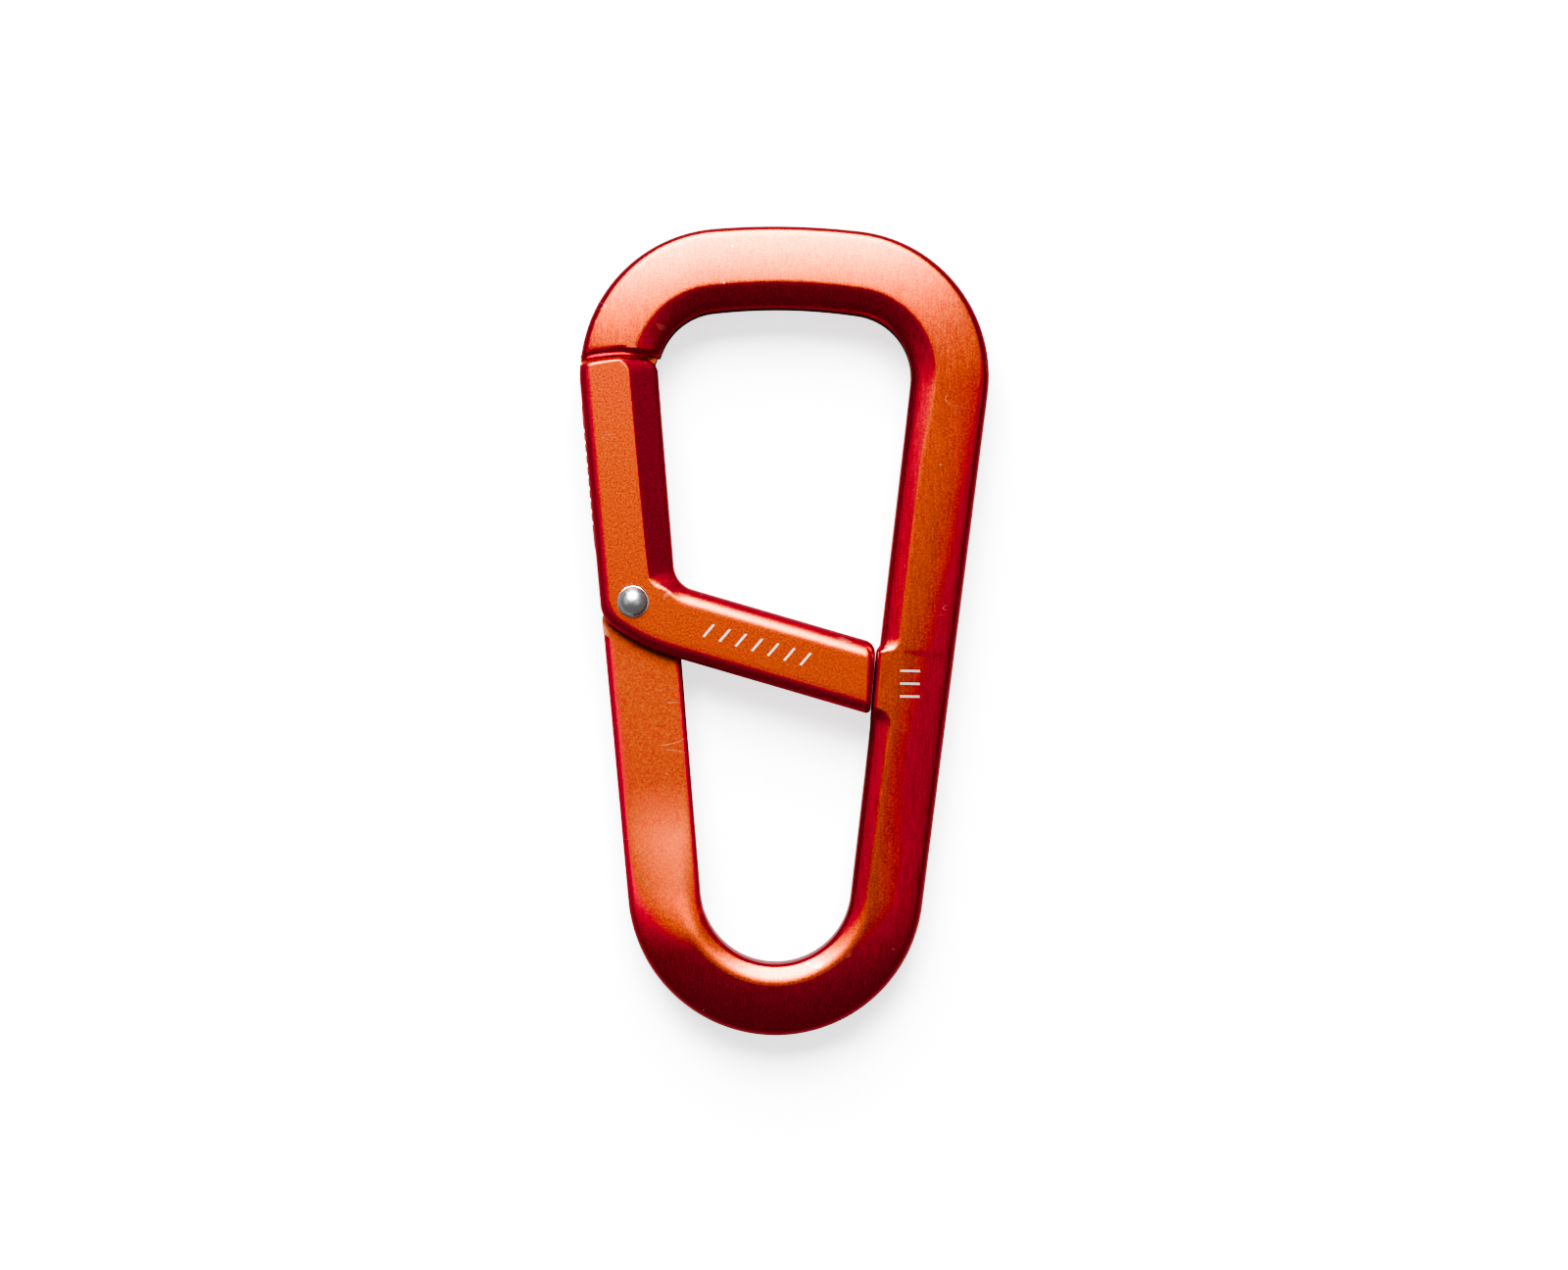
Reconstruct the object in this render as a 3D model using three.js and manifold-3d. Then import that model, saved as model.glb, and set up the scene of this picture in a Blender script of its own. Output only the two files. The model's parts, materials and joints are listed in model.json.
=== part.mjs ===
// Carabiner keyring: a flat two-loop carabiner with one L-shaped spring gate.
//
// Millimetres. The part lies on its back: +X across, +Y from the bend towards the crown, +Z up
// through the thickness. Origin: middle of the outline, on the plane that the back lies on.
// Everything is modelled about the mid-plane and lifted by half the thickness at the end.

import * as THREE from "three";
import { mergeVertices } from "three/addons/utils/BufferGeometryUtils.js";
import Module from "manifold-3d";

const wasm = await Module();
wasm.setup();

// ---------------------------------------------------------------- driving dimensions

// Outline of the frame
const LENGTH = 70; // bend to crown
const WIDTH = 35.4; // over the two corners
const THICKNESS = 6; // over the crests of both faces
const BEND_RADIUS = 12.8; // outside of the narrow end
const CORNER_RADIUS = 12.6; // outside of each corner of the wide end
const CROWN_RADIUS = 64; // outside of the wide end between its corners

// Widths of the bar and the radii inside the loop
const CROWN_BAR = 7.1;
const SIDE_BAR = 6.72;
const BEND_BAR = 6.25;
const INNER_CORNER_RADIUS = 5.4;
const INNER_CROWN_RADIUS = 48;

// Section of the bar: a narrow flat crest, a bevel inside it and a crowned face outside it
const BEVEL_WIDTH = 1.7;
const BEVEL_DROP = 0.9;
const CREST_WIDTH = 0.5;
const FACE_DROP = 0.9;
const FACE_CROWNING = 1.5; // the face falls away slowly next to the crest and faster further out
const EDGE_RADIUS = 0.45;

// The left rail is milled down to a flat tongue, which ramps up again towards the bend
const TONGUE_THICKNESS = 2.8;
const RAMP_START = 1.4; // above the tangent point of the bend, where the bar is whole again
const RAMP_LENGTH = 5.6;

// Pivot
const PIN_RADIUS = 1.2;
const DOME_HEIGHT = 1.0;
const BUSH_WALL = 0.13;
const PIVOT_INSET = 2.87; // from the outer edge of the rail
const PIVOT_SHARE = 0.577; // of the side's straight length, from the bend up
const PIN_CHAMFER = 0.15; // at the rear end
const HEAD_RADIUS = 2.5; // round end of the tongue
const HEAD_CORNER_RISE = 0.7; // above the pivot, where the cam runs out into the rail's edge
const HEAD_STEP = 0.04; // the head is a hair thinner than the tongue
const HEAD_OVERLAP = 1; // how far the head's root runs into the rail

// Gate
const ARM_ANGLE = -15.3; // degrees, lower arm against +X
const ARM_ABOVE_PIVOT = 2.45;
const ARM_BELOW_PIVOT = 3.61;
const NOSE_ANGLE = 9.8; // degrees round the left corner, from the side to the nose's end
const GATE_CORNER_RADIUS = 2.7; // round the pivot, outside
const GATE_BELLY_RADIUS = 16; // from that corner into the lower edge
const GATE_ELBOW_RADIUS = 2.3; // inside corner between the arms
const GATE_TIP_RADIUS = 1.1; // top corner towards the loop
const ARM_TIP_RADIUS = 1.2; // end of the lower arm, upper corner
const ARM_HEEL_RADIUS = 0.4; // end of the lower arm, lower corner
const GATE_SWING = 30; // degrees from closed to open

// Section of the gate: a flat face, a wide bevel towards the loop that turns into a round on the
// lower arm, and a round outer edge
const GATE_BEVEL_WIDTH = 2.4;
const GATE_BEVEL_DROP = 1.0;
const ARM_ROUND_WIDTH = 1.5;
const ARM_ROUND_DROP = 1.35;
const OUTER_ROUND_WIDTH = 1.1;
const OUTER_ROUND_DROP = 1.0;
const TOP_EDGE_RADIUS = 0.25;
const ARM_END_RADIUS = 0.8;

// Clearances
const NOSE_GAP = 0.25; // gate to nose
const STOP_GAP = 0.1; // lower arm to the stop on the spine
const CHEEK_CLEARANCE = 0.1; // each side of the tongue in its slot
const SWING_CLEARANCE = 0.15; // slot round what turns in it
const RUNNING_CLEARANCE = 0.05; // pin in the tongue
const PRESS_CLEARANCE = 0.02; // drawn gap between pressed pieces
const BORE_CLEARANCE = 0.15; // follower in its bore

// Nose: a short tongue that stands in a slot in the gate's top
const NOSE_TONGUE_LENGTH = 0.75;
const NOSE_TONGUE_INSET = 1.2; // degrees about the pivot, in from the loop's edge
const GAP_BULGE_FADE = 4; // rows of both ends straighten over this length

// Stop on the spine for the lower arm
const STOP_PROUD_TOP = 0.25;
const STOP_PROUD_BOTTOM = 0.08;
const STOP_BLEND = 0.6;
const BEVEL_RUNOUT = 1.4;

// Spring and follower, in the upper arm
const CAM_RADIUS = 1.6; // follower travel per radian of swing
const CAM_OVERRUN = 3; // degrees of cam past the open gate
const CAM_HEIGHT = 2.6; // pivot to the follower's face with the gate closed
const FOLLOWER_RADIUS = 1.15;
const FOLLOWER_LENGTH = 4.2;
const FOLLOWER_EDGE = 0.1; // chamfer of its face
const FOLLOWER_OVERLAP = 0.25; // how far its face reaches past the line that it touches the cam on
const SPIGOT_RADIUS = 0.55;
const SPIGOT_LENGTH = 1.6;
const SPRING_END_WALL = 4.3; // from the bore's end to the top of the gate
const SPRING_WIRE = 0.4;
const CLOSED_PITCH = 0.44; // of the spring's closed turn at each end
const SPRING_TURNS = 11;
const SPRING_CLEARANCE = 0.12; // each end of the spring

// Thumb grip, let into the outer edge of the upper arm
const GRIP_WIDTH = 3.2;
const GRIP_DEPTH = 0.7;
const GRIP_PROUD = 0.09;
const GRIP_RISE = 4.7; // above the pivot
const GRIP_TOP_MARGIN = 3.45; // below the top of the gate
const GRIP_RIB_PITCH = 1.0;
const GRIP_RIB_DEPTH = 0.12;

// ---------------------------------------------------------------- plane geometry

const HALF = THICKNESS / 2;
const degrees = THREE.MathUtils.degToRad;
const point = (x, y) => new THREE.Vector2(x, y);
const along = (start, direction, distance) => start.clone().addScaledVector(direction, distance);
const unit = (angle) => point(Math.cos(angle), Math.sin(angle));
const turned = (vector, angle) => vector.clone().rotateAround(point(0, 0), angle);
const mix = (a, b, share) => a + (b - a) * share;

// 0 before the start, 1 after the end and a smooth S between them
function ease(value, start, end) {
  return THREE.MathUtils.smoothstep(value, Math.min(start, end), Math.max(start, end));
}

// Where two lines meet, each given by a point and a direction
function crossing(p, d, q, e) {
  const reach = (q.x - p.x) * e.y - (q.y - p.y) * e.x;
  return along(p, d, reach / (d.x * e.y - d.y * e.x));
}

// Where the line from p along d meets a circle, on the far side
function lineOnCircle(p, d, centre, radius) {
  const offset = p.clone().sub(centre);
  const half = offset.dot(d);
  return along(p, d, -half + Math.sqrt(half ** 2 - offset.lengthSq() + radius ** 2));
}

// Points of an arc, both ends included
function arc(centre, radius, start, end, steps) {
  const points = [];
  for (let i = 0; i <= steps; i += 1) {
    points.push(along(centre, unit(mix(start, end, i / steps)), radius));
  }
  return points;
}

// The closed outline of one loop: bend, straight sides, corners and crown, all tangent
function loopOutline(length, width, bottom, bendRadius, cornerRadius, crownRadius) {
  const bend = point(0, bottom + bendRadius);
  const crown = point(0, bottom + length - crownRadius);
  const cornerX = width / 2 - cornerRadius;
  const cornerY = crown.y + Math.sqrt((crownRadius - cornerRadius) ** 2 - cornerX ** 2);
  const rise = cornerY - bend.y;
  const between = Math.hypot(cornerX, rise);
  const taper = Math.atan2(cornerX, rise) + Math.asin((cornerRadius - bendRadius) / between);
  const crownHalfAngle = Math.asin(cornerX / (crownRadius - cornerRadius));
  const radii = { bendRadius, cornerRadius, crownRadius };
  return { bend, crown, cornerX, cornerY, taper, crownHalfAngle, ...radii };
}

// A point of the outline: a named segment and a share from 0 to 1, clockwise from the left side
function outlinePoint(o, segment, share) {
  const top = Math.PI / 2;
  const leftCorner = point(-o.cornerX, o.cornerY);
  const rightCorner = point(o.cornerX, o.cornerY);
  const onArc = (centre, radius, start, end) => along(centre, unit(mix(start, end, share)), radius);
  const onLine = (start, end) => start.clone().lerp(end, share);
  const right = unit(-o.taper);
  const left = unit(Math.PI + o.taper);
  switch (segment) {
    case "left corner":
      return onArc(leftCorner, o.cornerRadius, Math.PI + o.taper, top + o.crownHalfAngle);
    case "crown":
      return onArc(o.crown, o.crownRadius, top + o.crownHalfAngle, top - o.crownHalfAngle);
    case "right corner":
      return onArc(rightCorner, o.cornerRadius, top - o.crownHalfAngle, -o.taper);
    case "spine":
      return onLine(along(rightCorner, right, o.cornerRadius), along(o.bend, right, o.bendRadius));
    case "bend":
      return onArc(o.bend, o.bendRadius, -o.taper, o.taper - Math.PI);
    default:
      return onLine(along(o.bend, left, o.bendRadius), along(leftCorner, left, o.cornerRadius));
  }
}

const BOTTOM = -LENGTH / 2;
const outer = loopOutline(LENGTH, WIDTH, BOTTOM, BEND_RADIUS, CORNER_RADIUS, CROWN_RADIUS);
const inner = loopOutline(
  LENGTH - CROWN_BAR - BEND_BAR,
  WIDTH - 2 * SIDE_BAR,
  BOTTOM + BEND_BAR,
  BEND_RADIUS - BEND_BAR,
  INNER_CORNER_RADIUS,
  INNER_CROWN_RADIUS,
);

// Directions of the left rail: up it, and across it towards the loop
const railFoot = outlinePoint(outer, "rail", 0);
const railUp = unit(Math.PI / 2 + outer.taper);
const railIn = unit(outer.taper);
const innerRailFoot = outlinePoint(inner, "rail", 0);
const innerRailUp = unit(Math.PI / 2 + inner.taper);

const PIVOT_RISE = PIVOT_SHARE * railFoot.distanceTo(outlinePoint(outer, "rail", 1));
const pivot = along(along(railFoot, railUp, PIVOT_RISE), railIn, PIVOT_INSET);
const fromPivot = (inward, up) => along(along(pivot, railIn, inward), railUp, up);

// The nose ends and the gate begins on arcs about the pivot
const leftCornerSweep = Math.PI / 2 + outer.taper - outer.crownHalfAngle;
const noseTip = outlinePoint(outer, "left corner", degrees(NOSE_ANGLE) / leftCornerSweep);
const NOSE_REACH = noseTip.distanceTo(pivot);
const GATE_REACH = NOSE_REACH - NOSE_GAP;

// What the upper arm holds follows from its length
const FOLLOWER_OFFSET = CAM_RADIUS + FOLLOWER_OVERLAP - FOLLOWER_RADIUS;
const BORE_END = GATE_REACH - SPRING_END_WALL;
const SPRING_LENGTH = BORE_END - CAM_HEIGHT - FOLLOWER_LENGTH - 2 * SPRING_CLEARANCE;
const GRIP_LENGTH = GATE_REACH - GRIP_RISE - GRIP_TOP_MARGIN;

// ---------------------------------------------------------------- solids

// A closed three.js geometry as a solid that can be joined and cut
function solid(geometry) {
  const plain = geometry.clone();
  plain.deleteAttribute("normal");
  plain.deleteAttribute("uv");
  const merged = mergeVertices(plain, 1e-4);
  const vertProperties = merged.attributes.position.array;
  const triVerts = new Uint32Array(merged.index.array);
  return new wasm.Manifold(new wasm.Mesh({ numProp: 3, vertProperties, triVerts }));
}

// The solid as a three.js geometry again, flat shaded
function geometryOf(made) {
  const { numProp, vertProperties, triVerts } = made.getMesh();
  const geometry = new THREE.BufferGeometry();
  const positions = [];
  for (let i = 0; i < vertProperties.length; i += numProp) {
    positions.push(vertProperties[i], vertProperties[i + 1], vertProperties[i + 2]);
  }
  geometry.setAttribute("position", new THREE.Float32BufferAttribute(positions, 3));
  geometry.setIndex([...triVerts]);
  const flat = geometry.toNonIndexed();
  flat.computeVertexNormals();
  return flat;
}

// A flat plate of a plan outline, centred on the mid-plane
function plate(points, thickness) {
  const shape = new THREE.Shape(points);
  const geometry = new THREE.ExtrudeGeometry(shape, { depth: thickness, bevelEnabled: false });
  geometry.translate(0, 0, -thickness / 2);
  return solid(geometry);
}

// A round bar through the thickness
function disc(centre, radius, thickness, sides = 64) {
  const geometry = new THREE.CylinderGeometry(radius, radius, thickness, sides);
  geometry.rotateX(Math.PI / 2);
  geometry.translate(centre.x, centre.y, 0);
  return solid(geometry);
}

// A turned piece whose axis lies along the upper arm. The profile is [radius, height] pairs.
function turnedAlongArm(profile, foot, sides = 32) {
  const points = profile.map(([radius, height]) => point(radius, height));
  const geometry = new THREE.LatheGeometry(points, sides);
  geometry.rotateZ(outer.taper);
  geometry.translate(foot.x, foot.y, 0);
  return geometry;
}

// A solid bar from rows of points on its upper surface. Each row runs from the left-hand edge to
// the right-hand edge of the direction of travel, and the lower surface mirrors the upper one.
function bar(rows) {
  const across = rows[0].length;
  const ring = 2 * across;
  const positions = [];
  for (const row of rows) {
    row.forEach((p) => positions.push(p.x, p.y, p.z));
    [...row].reverse().forEach((p) => positions.push(p.x, p.y, -p.z));
  }
  const index = [];
  const quad = (a, b, c, d) => index.push(a, b, c, a, c, d);
  for (let i = 0; i + 1 < rows.length; i += 1) {
    for (let j = 0; j < ring; j += 1) {
      const next = (j + 1) % ring;
      quad(i * ring + j, i * ring + next, (i + 1) * ring + next, (i + 1) * ring + j);
    }
  }
  const last = (rows.length - 1) * ring;
  for (let j = 0; j + 1 < across; j += 1) {
    const below = ring - 1 - j;
    quad(j, below, below - 1, j + 1);
    quad(last + j, last + j + 1, last + below - 1, last + below);
  }
  const geometry = new THREE.BufferGeometry();
  geometry.setAttribute("position", new THREE.Float32BufferAttribute(positions, 3));
  geometry.setIndex(index);
  return solid(geometry);
}

// How far a rounded edge lies below its face, at a distance in from the edge
function roundDrop(distance, radius) {
  return ovalDrop(distance, radius, radius);
}

// The same for an edge that is rounded over a width and a drop that differ
function ovalDrop(distance, width, drop) {
  const share = THREE.MathUtils.clamp(distance / width, 0, 1);
  return drop * (1 - Math.sqrt(1 - (1 - share) ** 2));
}

// One row of upper surface points between two edge points. A bulge bows the row up the left rail.
function rowBetween(left, right, offsets, heightAt, bulge = 0) {
  const width = left.distanceTo(right);
  return offsets(width).map((offset) => {
    const share = offset / width;
    const at = along(left.clone().lerp(right, share), railUp, 4 * share * (1 - share) * bulge);
    return new THREE.Vector3(at.x, at.y, heightAt(offset, width));
  });
}

// How far a row bows at the gap between gate and nose, which is an arc about the pivot, and how
// that fades with the distance from the gap
function gapBulge(left, right, distance) {
  const half = left.distanceTo(right) / 2;
  const bow = GATE_REACH - Math.sqrt(GATE_REACH ** 2 - half ** 2);
  return bow * (1 - ease(distance, 0, GAP_BULGE_FADE));
}

// ---------------------------------------------------------------- frame

// The stop's face on the spine, and the levels between which it stands proud of the bar
const stopTop = crossing(
  along(pivot, unit(degrees(ARM_ANGLE + 90)), ARM_ABOVE_PIVOT),
  unit(degrees(ARM_ANGLE)),
  outlinePoint(inner, "spine", 0),
  unit(Math.PI / 2 - inner.taper),
);
const stopBottom = crossing(
  along(pivot, unit(degrees(ARM_ANGLE - 90)), ARM_BELOW_PIVOT),
  unit(degrees(ARM_ANGLE)),
  outlinePoint(inner, "spine", 0),
  unit(Math.PI / 2 - inner.taper),
);

function stopProud(y) {
  const share = (y - stopBottom.y) / (stopTop.y - stopBottom.y);
  const rise = ease(y, stopBottom.y - 2 * STOP_BLEND, stopBottom.y);
  const fall = 1 - ease(y, stopTop.y - STOP_BLEND, stopTop.y);
  return mix(STOP_PROUD_BOTTOM, STOP_PROUD_TOP, share) * rise * fall;
}

// The bevel's width falls to nothing at the stop, in the quarter circle that a round cutter leaves
function bevelWidth(y) {
  const upper = (y - stopTop.y + STOP_BLEND) / BEVEL_RUNOUT;
  const lower = (stopBottom.y - y + STOP_BLEND) / BEVEL_RUNOUT;
  const out = THREE.MathUtils.clamp(Math.max(upper, lower), 0, 1);
  return BEVEL_WIDTH * Math.sqrt(1 - (1 - out) ** 2);
}

// Height of the frame's upper surface. The offset runs from the outer edge to the inner one.
function frameHeight(offset, width, bevel, milled, endDistance) {
  const inside = width - offset;
  const slope = Math.max(0, bevel - inside) / BEVEL_WIDTH;
  const crest = BEVEL_WIDTH + CREST_WIDTH;
  const outside = Math.max(0, inside - crest) / (width - crest);
  const whole = HALF - BEVEL_DROP * slope - FACE_DROP * outside ** FACE_CROWNING;
  const edges = roundDrop(offset, EDGE_RADIUS) + roundDrop(inside, EDGE_RADIUS);
  return Math.min(whole, milled) - edges - roundDrop(endDistance, EDGE_RADIUS);
}

function frameOffsets(width) {
  const edge = [0, 0.06, 0.2, EDGE_RADIUS];
  const crest = [width - BEVEL_WIDTH - CREST_WIDTH, width - BEVEL_WIDTH];
  const face = [1 / 3, 2 / 3].map((share) => mix(EDGE_RADIUS, crest[0], share));
  return [...edge, ...face, ...crest, ...edge.map((offset) => width - offset).reverse()];
}

// Number of rows in each stretch of the frame
const FRAME_STEPS = { nose: 10, crown: 8, corner: 12, bend: 18, rail: 20 };

function frameRows() {
  const rows = [];
  const addRow = (left, right, { bevel = BEVEL_WIDTH, milled = HALF, end = HALF } = {}) => {
    const height = (offset, width) => frameHeight(offset, width, bevel, milled, end);
    const bulge = end < HALF ? gapBulge(left, right, end) : 0;
    rows.push(rowBetween(left, right, frameOffsets, height, bulge));
  };
  const segment = (name, steps, options = () => ({})) => {
    for (let i = 0; i < steps; i += 1) {
      const share = i / steps;
      const left = outlinePoint(outer, name, share);
      const right = outlinePoint(inner, name, share);
      addRow(left, right, options(left, right));
    }
  };
  // The nose: its end follows an arc about the pivot, so the rows turn into that arc
  const start = noseShares(NOSE_REACH);
  for (const end of [0, 0.05, 0.2, EDGE_RADIUS]) {
    addRow(
      outlinePoint(outer, "left corner", start.outer + end / CORNER_RADIUS),
      outlinePoint(inner, "left corner", start.inner + end / INNER_CORNER_RADIUS),
      { end },
    );
  }
  for (let i = 1; i < FRAME_STEPS.nose; i += 1) {
    const from = EDGE_RADIUS / INNER_CORNER_RADIUS;
    addRow(
      outlinePoint(outer, "left corner", mix(start.outer + from / 2, 1, i / FRAME_STEPS.nose)),
      outlinePoint(inner, "left corner", mix(start.inner + from, 1, i / FRAME_STEPS.nose)),
    );
  }
  segment("crown", FRAME_STEPS.crown);
  segment("right corner", FRAME_STEPS.corner);
  const spineStart = outlinePoint(inner, "spine", 0);
  const spineEnd = outlinePoint(inner, "spine", 1);
  const outerStart = outlinePoint(outer, "spine", 0);
  const outerEnd = outlinePoint(outer, "spine", 1);
  for (const share of spineShares(spineStart.y, spineEnd.y)) {
    const edge = spineStart.clone().lerp(spineEnd, share);
    const proud = along(edge, unit(Math.PI - inner.taper), stopProud(edge.y));
    addRow(outerStart.clone().lerp(outerEnd, share), proud, { bevel: bevelWidth(edge.y) });
  }
  segment("bend", FRAME_STEPS.bend);
  for (let i = 0; i <= FRAME_STEPS.rail; i += 1) {
    const rise = mix(0, PIVOT_RISE - HEAD_RADIUS, i / FRAME_STEPS.rail);
    const milled = mix(HALF, TONGUE_THICKNESS / 2, ease(rise, RAMP_START, RAMP_START + RAMP_LENGTH));
    addRow(along(railFoot, railUp, rise), along(innerRailFoot, innerRailUp, rise), { milled });
  }
  return rows;
}

// Shares of the left corner at which the outlines pass a circle about the pivot
function noseShares(radius) {
  const find = (outline) => {
    let low = 0;
    let high = 1;
    for (let i = 0; i < 40; i += 1) {
      const middle = (low + high) / 2;
      const reach = outlinePoint(outline, "left corner", middle).distanceTo(pivot);
      if (reach < radius) low = middle;
      else high = middle;
    }
    return low;
  };
  return { outer: find(outer), inner: find(inner) };
}

// Shares down the spine, close together where the stop stands
const SPINE_STEP = 2.2;
const STOP_STEP = 0.35;

function spineShares(top, bottom) {
  const shares = [];
  let y = top;
  while (y > bottom) {
    shares.push((top - y) / (top - bottom));
    const nearTop = Math.abs(y - stopTop.y) < BEVEL_RUNOUT + STOP_BLEND;
    const nearBottom = Math.abs(y - stopBottom.y) < BEVEL_RUNOUT + STOP_BLEND;
    y -= nearTop || nearBottom ? STOP_STEP : SPINE_STEP;
  }
  return shares;
}

// The cam: an involute, so the follower rises in proportion to the swing. Angles are swing.
function camPoint(swing) {
  const lift = CAM_HEIGHT + CAM_RADIUS * swing;
  const local = point(CAM_RADIUS, lift).rotateAround(point(0, 0), -swing);
  return fromPivot(local.x, local.y);
}

const headCorner = along(innerRailFoot, innerRailUp, PIVOT_RISE + HEAD_CORNER_RISE);
const HEAD_SHOULDER = 140; // degrees about the pivot, where the head's round meets the outer edge
const HEAD_STEPS = 12;

// Plan outline of the tongue's round head with the cam, down to where it meets the rail
function tongueHead() {
  const railTop = PIVOT_RISE - HEAD_RADIUS;
  const root = PIVOT_RISE / 2 + railTop / 2;
  const points = [
    along(along(railFoot, railUp, railTop - HEAD_OVERLAP), railIn, HEAD_OVERLAP),
    along(railFoot, railUp, railTop),
    along(railFoot, railUp, root),
  ];
  const camStart = (HEAD_RADIUS - CAM_HEIGHT) / CAM_RADIUS;
  const camEnd = degrees(GATE_SWING + CAM_OVERRUN);
  for (let i = 0; i <= HEAD_STEPS; i += 1) {
    const angle = mix(degrees(HEAD_SHOULDER), Math.PI / 2 - camStart, i / HEAD_STEPS);
    points.push(fromPivot(HEAD_RADIUS * Math.cos(angle), HEAD_RADIUS * Math.sin(angle)));
  }
  for (let i = 0; i <= HEAD_STEPS; i += 1) {
    points.push(camPoint(mix(camStart, camEnd, i / HEAD_STEPS)));
  }
  points.push(headCorner, along(innerRailFoot, innerRailUp, railTop));
  points.push(along(along(innerRailFoot, innerRailUp, railTop - HEAD_OVERLAP), railIn, -HEAD_OVERLAP));
  return points.reverse();
}

// The nose's own tongue, which stands in the slot in the gate's top
function noseTongue() {
  const end = NOSE_REACH - NOSE_TONGUE_LENGTH;
  const outerTip = outlinePoint(outer, "left corner", noseShares(NOSE_REACH).outer);
  const innerTip = outlinePoint(inner, "left corner", noseShares(NOSE_REACH).inner);
  const from = outerTip.clone().sub(pivot).angle();
  const to = innerTip.clone().sub(pivot).angle();
  const inset = degrees(NOSE_TONGUE_INSET);
  const tip = arc(pivot, end, from - inset / 4, to + inset, HEAD_STEPS);
  const root = arc(pivot, NOSE_REACH + EDGE_RADIUS, to + inset / 6, from - inset / 4, HEAD_STEPS);
  return [...tip, ...root].reverse();
}

function frameSolid() {
  return bar(frameRows())
    .add(plate(tongueHead(), TONGUE_THICKNESS - HEAD_STEP))
    .add(plate(noseTongue(), TONGUE_THICKNESS))
    .subtract(disc(pivot, PIN_RADIUS + RUNNING_CLEARANCE, THICKNESS));
}

// ---------------------------------------------------------------- gate

const armRight = unit(degrees(ARM_ANGLE));
const armUp = unit(degrees(ARM_ANGLE + 90));
const armTopStart = along(pivot, armUp, ARM_ABOVE_PIVOT);
const armBottomStart = along(pivot, armUp, -ARM_BELOW_PIVOT);

// The end of the lower arm lies against the stop's face
const stopFace = {
  top: along(stopTop, unit(Math.PI - inner.taper), STOP_PROUD_TOP + STOP_GAP),
  bottom: along(stopBottom, unit(Math.PI - inner.taper), STOP_PROUD_BOTTOM + STOP_GAP),
};
const stopUp = stopFace.top.clone().sub(stopFace.bottom).normalize();
const armTopEnd = crossing(armTopStart, armRight, stopFace.bottom, stopUp);
const armBottomEnd = crossing(armBottomStart, armRight, stopFace.bottom, stopUp);

// A round corner between two lines that meet at a point, from the first line to the second
function roundCorner(corner, toFirst, toSecond, radius, steps) {
  const half = Math.acos(THREE.MathUtils.clamp(toFirst.dot(toSecond), -1, 1)) / 2;
  const setback = radius / Math.tan(half);
  const middle = toFirst.clone().add(toSecond).normalize();
  const centre = along(corner, middle, radius / Math.sin(half));
  const start = along(corner, toFirst, setback).sub(centre).angle();
  let sweep = along(corner, toSecond, setback).sub(centre).angle() - start;
  if (sweep > Math.PI) sweep -= 2 * Math.PI;
  if (sweep < -Math.PI) sweep += 2 * Math.PI;
  return arc(centre, radius, start, start + sweep, steps);
}

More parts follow.
